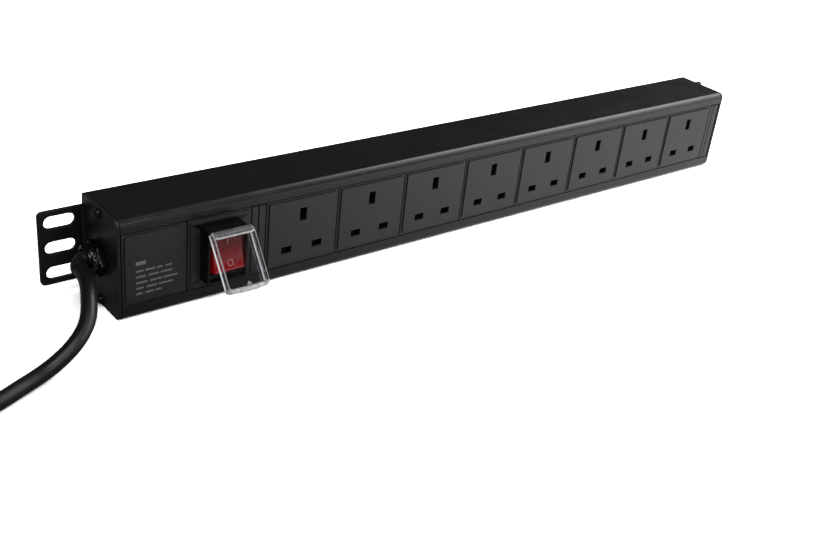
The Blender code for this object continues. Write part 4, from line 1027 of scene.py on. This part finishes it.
def cover():
    """The clear tray: an even wall, drawn round in a long curve at its top, open at the back, on its hinge."""
    half, rear, front, low = 13.4 * MM, 1.4 * MM, -4.3 * MM, -34.3 * MM
    wall, edge = 1.0 * MM, 1.1 * MM
    crest, deep, tall = -2.8 * MM, 4.2 * MM, 5.3 * MM

    def quarter(across, limit):
        """How far a rounded edge of this radius stands back at this depth."""
        return 0.0 if across >= limit else limit - math.sqrt(max(0.0, limit**2 - (limit - across) ** 2))

    def ring(y, inset, w):
        """One section: w is 0 for the outside and the wall for the inside."""
        a, b = deep - w, tall - w
        share = max(-1.0, min(1.0, 1 - (y - front - w) / a))
        top = crest + b * math.sqrt(1 - share**2) if share > 0 else crest + b
        bottom = low + w + max(inset - w, 0.0) * 1.6
        side = half - inset
        rt, rb = 1.9 * MM - w * 0.6, 2.6 * MM - w * 0.7
        points = arc((side - rt, top - rt), rt, 0, 90, 6) + arc((-side + rt, top - rt), rt, 90, 180, 6)
        points += arc((-side + rb, bottom + rb), rb, 180, 270, 6) + arc((side - rb, bottom + rb), rb, 270, 360, 6)
        return [(u, y, v) for u, v in points]

    depths = [0.0, 0.08, 0.22, 0.42, 0.68, 1.0, 1.35, 1.8, 2.3, 2.8, 3.4, 4.0, 4.7]
    outer, inner = [], []
    for d in depths:
        outer.append(ring(front + d * MM, quarter(d * MM, edge), 0.0))
        inner.append(ring(front + wall + d * MM, wall + quarter(d * MM, 0.5 * MM), wall))
    inner = [r for r in inner if r[0][1] < rear - 0.4 * MM]
    inner += [ring(rear - 0.12 * MM, wall, wall), ring(rear, wall - 0.12 * MM, wall)]
    outer += [ring(rear - 0.12 * MM, 0.0, 0.0), ring(rear, 0.12 * MM, 0.0)]
    shape = loft(inner + outer[::-1])
    tab = plate([rounded(12.0 * MM, 3.2 * MM, 0.7 * MM, 6, (0.0, low + 0.9 * MM))], front + 0.6 * MM, front + 2.3 * MM, 0.25 * MM)
    shape = add(shape, tab)
    shape = cut(shape, box((-half + wall + 0.02 * MM, -1.8 * MM, -0.5 * MM), (half - wall - 0.02 * MM, 4 * MM, 4 * MM)))
    # The side walls end round the pin.
    corner = [(-1.85 * MM, 6 * MM), (-1.85 * MM, 1.9 * MM)] + arc((0.0, 0.0), 1.6 * MM, 125, 0, 12) + [(5 * MM, 0.0), (5 * MM, 6 * MM)]
    shape = cut(shape, prism(corner, -half - 2 * MM, half + 2 * MM, "X"))
    shape = cut(shape, prism(circle(0.8 * MM, 24), -half - 2 * MM, half + 2 * MM, "X"))
    mesh = mesh_of(shape, "clear_cover", 42)
    mesh.materials.append(CLEAR)
    mesh.materials.append(FROSTED)
    mesh.materials.append(COVER_EDGE_HIGHLIGHT)
    mesh.materials.append(COVER_RIM_HIGHLIGHT)
    mesh.materials.append(COVER_TOP_REFLECTION)
    # Finishes by face: frosted on the bottom band; painted highlights on the rear rims in glowing white and on the
    # rounded side edges and along the crest in light grey; a painted reflection in semi-opaque grey over the curved
    # top.
    for face in mesh.polygons:
        c, n = face.center, face.normal
        if c.z < low + 3.4 * MM:
            face.material_index = 1
        elif c.y > rear - 0.2 * MM and abs(c.x) > half - wall - 0.1 * MM:
            face.material_index = 3
        elif 0.3 < abs(n.x) < 0.92 and n.y < -0.2 and abs(c.x) > half - 1.3 * MM:
            face.material_index = 2
        elif crest + 0.3 * MM < c.z < crest + 1.3 * MM and c.y < front + 0.3 * MM:
            face.material_index = 2
        elif c.z > crest + 0.9 * MM and abs(c.x) < half - wall - 0.1 * MM:
            face.material_index = 4
    at = (SWITCH.x, *COVER_PIVOT)
    turn = (math.radians(-36.0), 0.0, 0.0)
    place("clear_cover", mesh, None, "switch_cover", "clear_cover", body="cover", at=at, turn=turn)
    # A small moulded arrowhead over the finger tab, in the light grey of the painted edge highlights.
    tri = [(-1.7 * MM, low + 3.1 * MM), (1.7 * MM, low + 3.1 * MM), (0.0, low + 5.1 * MM)]
    inside = [(-0.85 * MM, low + 3.45 * MM), (0.85 * MM, low + 3.45 * MM), (0.0, low + 4.45 * MM)]
    arrow = plate([tri, inside], front - 0.16 * MM, front + 0.06 * MM, 0.06 * MM, resolution=1)
    place("cover_arrow", arrow, COVER_EDGE_HIGHLIGHT, slot="clear_cover", body="cover", at=at, turn=turn)
    pin = turned([(x * MM, r * MM) for x, r in ((-13.2, 0.0), (-13.2, 0.45), (-13.05, 0.62), (-12.9, 0.65), (12.9, 0.65), (13.05, 0.62), (13.2, 0.45), (13.2, 0.0))], 24)
    place("hinge_pin", pin, STEEL, "cover_hinge_pin", "steel", at=at)


# --- gland ----------------------------------------------------------------------
def hexagon(radius, chamfer, low, high, turn):
    """A hexagon across X whose two ends are turned down to a circle at its corners."""
    steps = 72
    flat = radius * math.cos(math.pi / 6)

    def ring(x, limit):
        points = []
        for i in range(steps):
            a = 2 * math.pi * i / steps
            local = (a - math.radians(turn) + math.pi / 6) % (math.pi / 3) - math.pi / 6
            r = min(flat / math.cos(local), limit)
            points.append((x, r * math.cos(a), r * math.sin(a)))
        return points

    rounding = (1.0, 0.55, 0.2, 0.0)
    sizes = [radius - chamfer * k for k in rounding]
    depth = [chamfer * 0.55 * d for d in (0.0, 0.25, 0.6, 1.0)]
    rings = [ring(low + d, s) for d, s in zip(depth, sizes)]
    rings += [ring(high - d, s) for d, s in zip(depth[::-1], sizes[::-1])]
    return rings


def gland():
    at = (0.0, *GLAND)
    body = loft(hexagon(10.9 * MM, 1.5 * MM, -266.4 * MM, -261.9 * MM, 30))
    sleeve = turned([(x * MM, r * MM) for x, r in ((-266.2, 6.6), (-266.2, 7.9), (-268.5, 7.9), (-268.7, 7.7), (-268.7, 6.6))], 48)
    thread = []
    for k in range(8):
        x = -252.9 - k * 1.15
        thread += [(x, 7.55), (x - 0.28, 7.9), (x - 0.55, 7.9), (x - 0.83, 7.55)]
    inside = turned([(x * MM, r * MM) for x, r in [(-252.5, 6.6), (-252.5, 7.4)] + thread + [(-262.2, 7.55), (-262.2, 6.6)]], 48)
    place("gland_hexagon", joined(body, sleeve, inside), NYLON, "gland_body", "nylon_black", at=at, sharp=35)
    # The dome nut: fluted at its root, then drawn in round the boot.
    steps = 96
    profile = [(-266.7, 8.25, 0.0), (-266.7, 9.2, 1.0), (-266.9, 9.6, 1.0), (-268.3, 9.6, 1.0), (-268.8, 9.55, 0.6), (-269.2, 9.45, 0.0),
               (-269.8, 9.2, 0.0), (-270.4, 8.8, 0.0), (-270.9, 8.3, 0.0), (-271.3, 7.8, 0.0), (-271.55, 7.3, 0.0), (-271.6, 6.9, 0.0),
               (-271.5, 6.65, 0.0), (-271.2, 6.55, 0.0), (-269.4, 6.55, 0.0), (-269.1, 8.2, 0.0)]
    rings = []
    for x, r, flute in profile:
        ring = []
        for i in range(steps):
            a = 2 * math.pi * i / steps
            groove = 0.32 * flute * max(0.0, math.cos(12 * a)) ** 2
            ring.append((x * MM, (r - groove) * MM * math.cos(a), (r - groove) * MM * math.sin(a)))
        rings.append(ring)
    place("gland_nut", loft(rings, closed=True), NYLON, "gland_dome_nut", "nylon_black", at=at, sharp=38)


housing()
bracket(-1, "left")
bracket(1, "right")
screws()
sockets()
fillers()
label()
switch_surround()
switch()
rocker()
cover()
gland()

# Frame nodes that stay, with their finishes.
KEPT = {"gland_locknut": NYLON, "wire_live": BROWN, "wire_neutral": BLUE, "wire_earth": GREEN,
        "busbar_live": BRASS, "busbar_neutral": BRASS, "busbar_earth": BRASS}
for index in range(1, 9):
    KEPT[f"socket_shutter_{index}"] = INNER
    KEPT[f"socket_base_{index}"] = INNER
for name, finish in KEPT.items():
    node = frame["nodes"][name]
    node.data.materials.clear()
    node.data.materials.append(finish)


# --- floor and light --------------------------------------------------------------
def floor():
    """A pale floor, brighter to the camera than to other rays. Its mirror image in the strip is painted: dimmer, fading
    towards the left end and lighter behind the strip.
    """
    finish = surface("floor_pale", (0.93, 0.93, 0.93), 0.75, vary=0.008, patch=1.5, rough_vary=0.03, grain=60.0, grain_depth=0.05)
    tree = finish.node_tree
    shader = tree.nodes["Principled BSDF"]
    link = tree.links.new
    coords = tree.nodes.new("ShaderNodeTexCoord")
    split = tree.nodes.new("ShaderNodeSeparateXYZ")
    link(coords.outputs["Object"], split.inputs["Vector"])
    # Painted reflection and bounce light: for every ray but the camera's, the floor darkens towards the left end.
    reflection_fade = tree.nodes.new("ShaderNodeMapRange")
    reflection_fade.interpolation_type = "SMOOTHSTEP"
    for key, value in (("From Min", -0.36), ("From Max", 0.22), ("To Min", 0.13), ("To Max", 1.42)):
        reflection_fade.inputs[key].default_value = value
    link(split.outputs["X"], reflection_fade.inputs["Value"])
    # Painted reflection: behind the strip the floor is lighter for every ray but the camera's.
    behind = tree.nodes.new("ShaderNodeMapRange")
    behind.interpolation_type = "SMOOTHSTEP"
    for key, value in (("From Min", -0.01), ("From Max", 0.10), ("To Min", 0.0), ("To Max", 0.22)):
        behind.inputs[key].default_value = value
    link(split.outputs["Y"], behind.inputs["Value"])
    both = tree.nodes.new("ShaderNodeMath")
    both.operation = "ADD"
    link(reflection_fade.outputs["Result"], both.inputs[0])
    link(behind.outputs["Result"], both.inputs[1])
    # The floor as reflections and bounce light see it, with the painted gradients.
    floor_painted_reflection = tree.nodes.new("ShaderNodeBsdfDiffuse")
    link(both.outputs["Value"], floor_painted_reflection.inputs["Color"])
    seen = tree.nodes.new("ShaderNodeBsdfDiffuse")
    seen.inputs["Color"].default_value = (4.0, 4.0, 4.0, 1.0)
    half = tree.nodes.new("ShaderNodeMixShader")
    half.inputs["Fac"].default_value = 0.8
    link(shader.outputs[0], half.inputs[1])
    link(seen.outputs[0], half.inputs[2])
    path = tree.nodes.new("ShaderNodeLightPath")
    mix = tree.nodes.new("ShaderNodeMixShader")
    link(path.outputs["Is Camera Ray"], mix.inputs["Fac"])
    link(floor_painted_reflection.outputs[0], mix.inputs[1])
    link(half.outputs[0], mix.inputs[2])
    link(mix.outputs[0], tree.nodes["Material Output"].inputs["Surface"])
    bm = bmesh.new()
    size = 6.0
    for u, v in ((-size, -size), (size, -size), (size, size), (-size, size)):
        bm.verts.new((u, v, 0.0))
    bm.faces.new(bm.verts)
    mesh = bpy.data.meshes.new("floor")
    bm.to_mesh(mesh)
    bm.free()
    mesh.materials.append(finish)
    obj = bpy.data.objects.new("floor", mesh)
    bpy.context.scene.collection.objects.link(obj)


def area(name, location, target, size, power, colour=(1.0, 1.0, 1.0)):
    data = bpy.data.lights.new(name, "AREA")
    data.shape = "RECTANGLE"
    data.size, data.size_y = size
    data.energy = power
    data.color = colour
    obj = bpy.data.objects.new(name, data)
    obj.location = location
    obj.rotation_euler = (Vector(target) - Vector(location)).to_track_quat("-Z", "Y").to_euler()
    bpy.context.scene.collection.objects.link(obj)


def world():
    made = bpy.data.worlds.new("studio")
    bpy.context.scene.world = made
    made.use_nodes = True
    tree = made.node_tree
    ground = tree.nodes["Background"]
    ground.inputs["Color"].default_value = (0.9, 0.9, 0.9, 1.0)
    ground.inputs["Strength"].default_value = 0.04
    seen = tree.nodes.new("ShaderNodeBackground")
    seen.inputs["Color"].default_value = (1.0, 1.0, 1.0, 1.0)
    path = tree.nodes.new("ShaderNodeLightPath")
    mix = tree.nodes.new("ShaderNodeMixShader")
    tree.links.new(path.outputs["Is Camera Ray"], mix.inputs["Fac"])
    tree.links.new(ground.outputs[0], mix.inputs[1])
    tree.links.new(seen.outputs[0], mix.inputs[2])
    tree.links.new(mix.outputs[0], tree.nodes["World Output"].inputs["Surface"])


floor()
world()
area("side", (1.85, 0.15, 1.85), (0.1, 0.0, 0.0), (1.9, 1.3), 33.0)
area("corner", (1.75, -1.0, 0.95), (0.1, 0.0, 0.0), (1.3, 1.5), 12.0)
area("above", (-0.6, -0.9, 2.0), (-0.1, -0.2, 0.0), (1.2, 1.2), 15.0)
area("front", (0.15, -1.9, 1.1), (0.1, -0.1, 0.0), (0.7, 0.8), 7.0)
area("left", (-1.5, -0.3, 0.7), (-0.2, 0.0, 0.0), (0.5, 0.5), 3.0)
bpy.context.scene.view_settings.view_transform = "Standard"
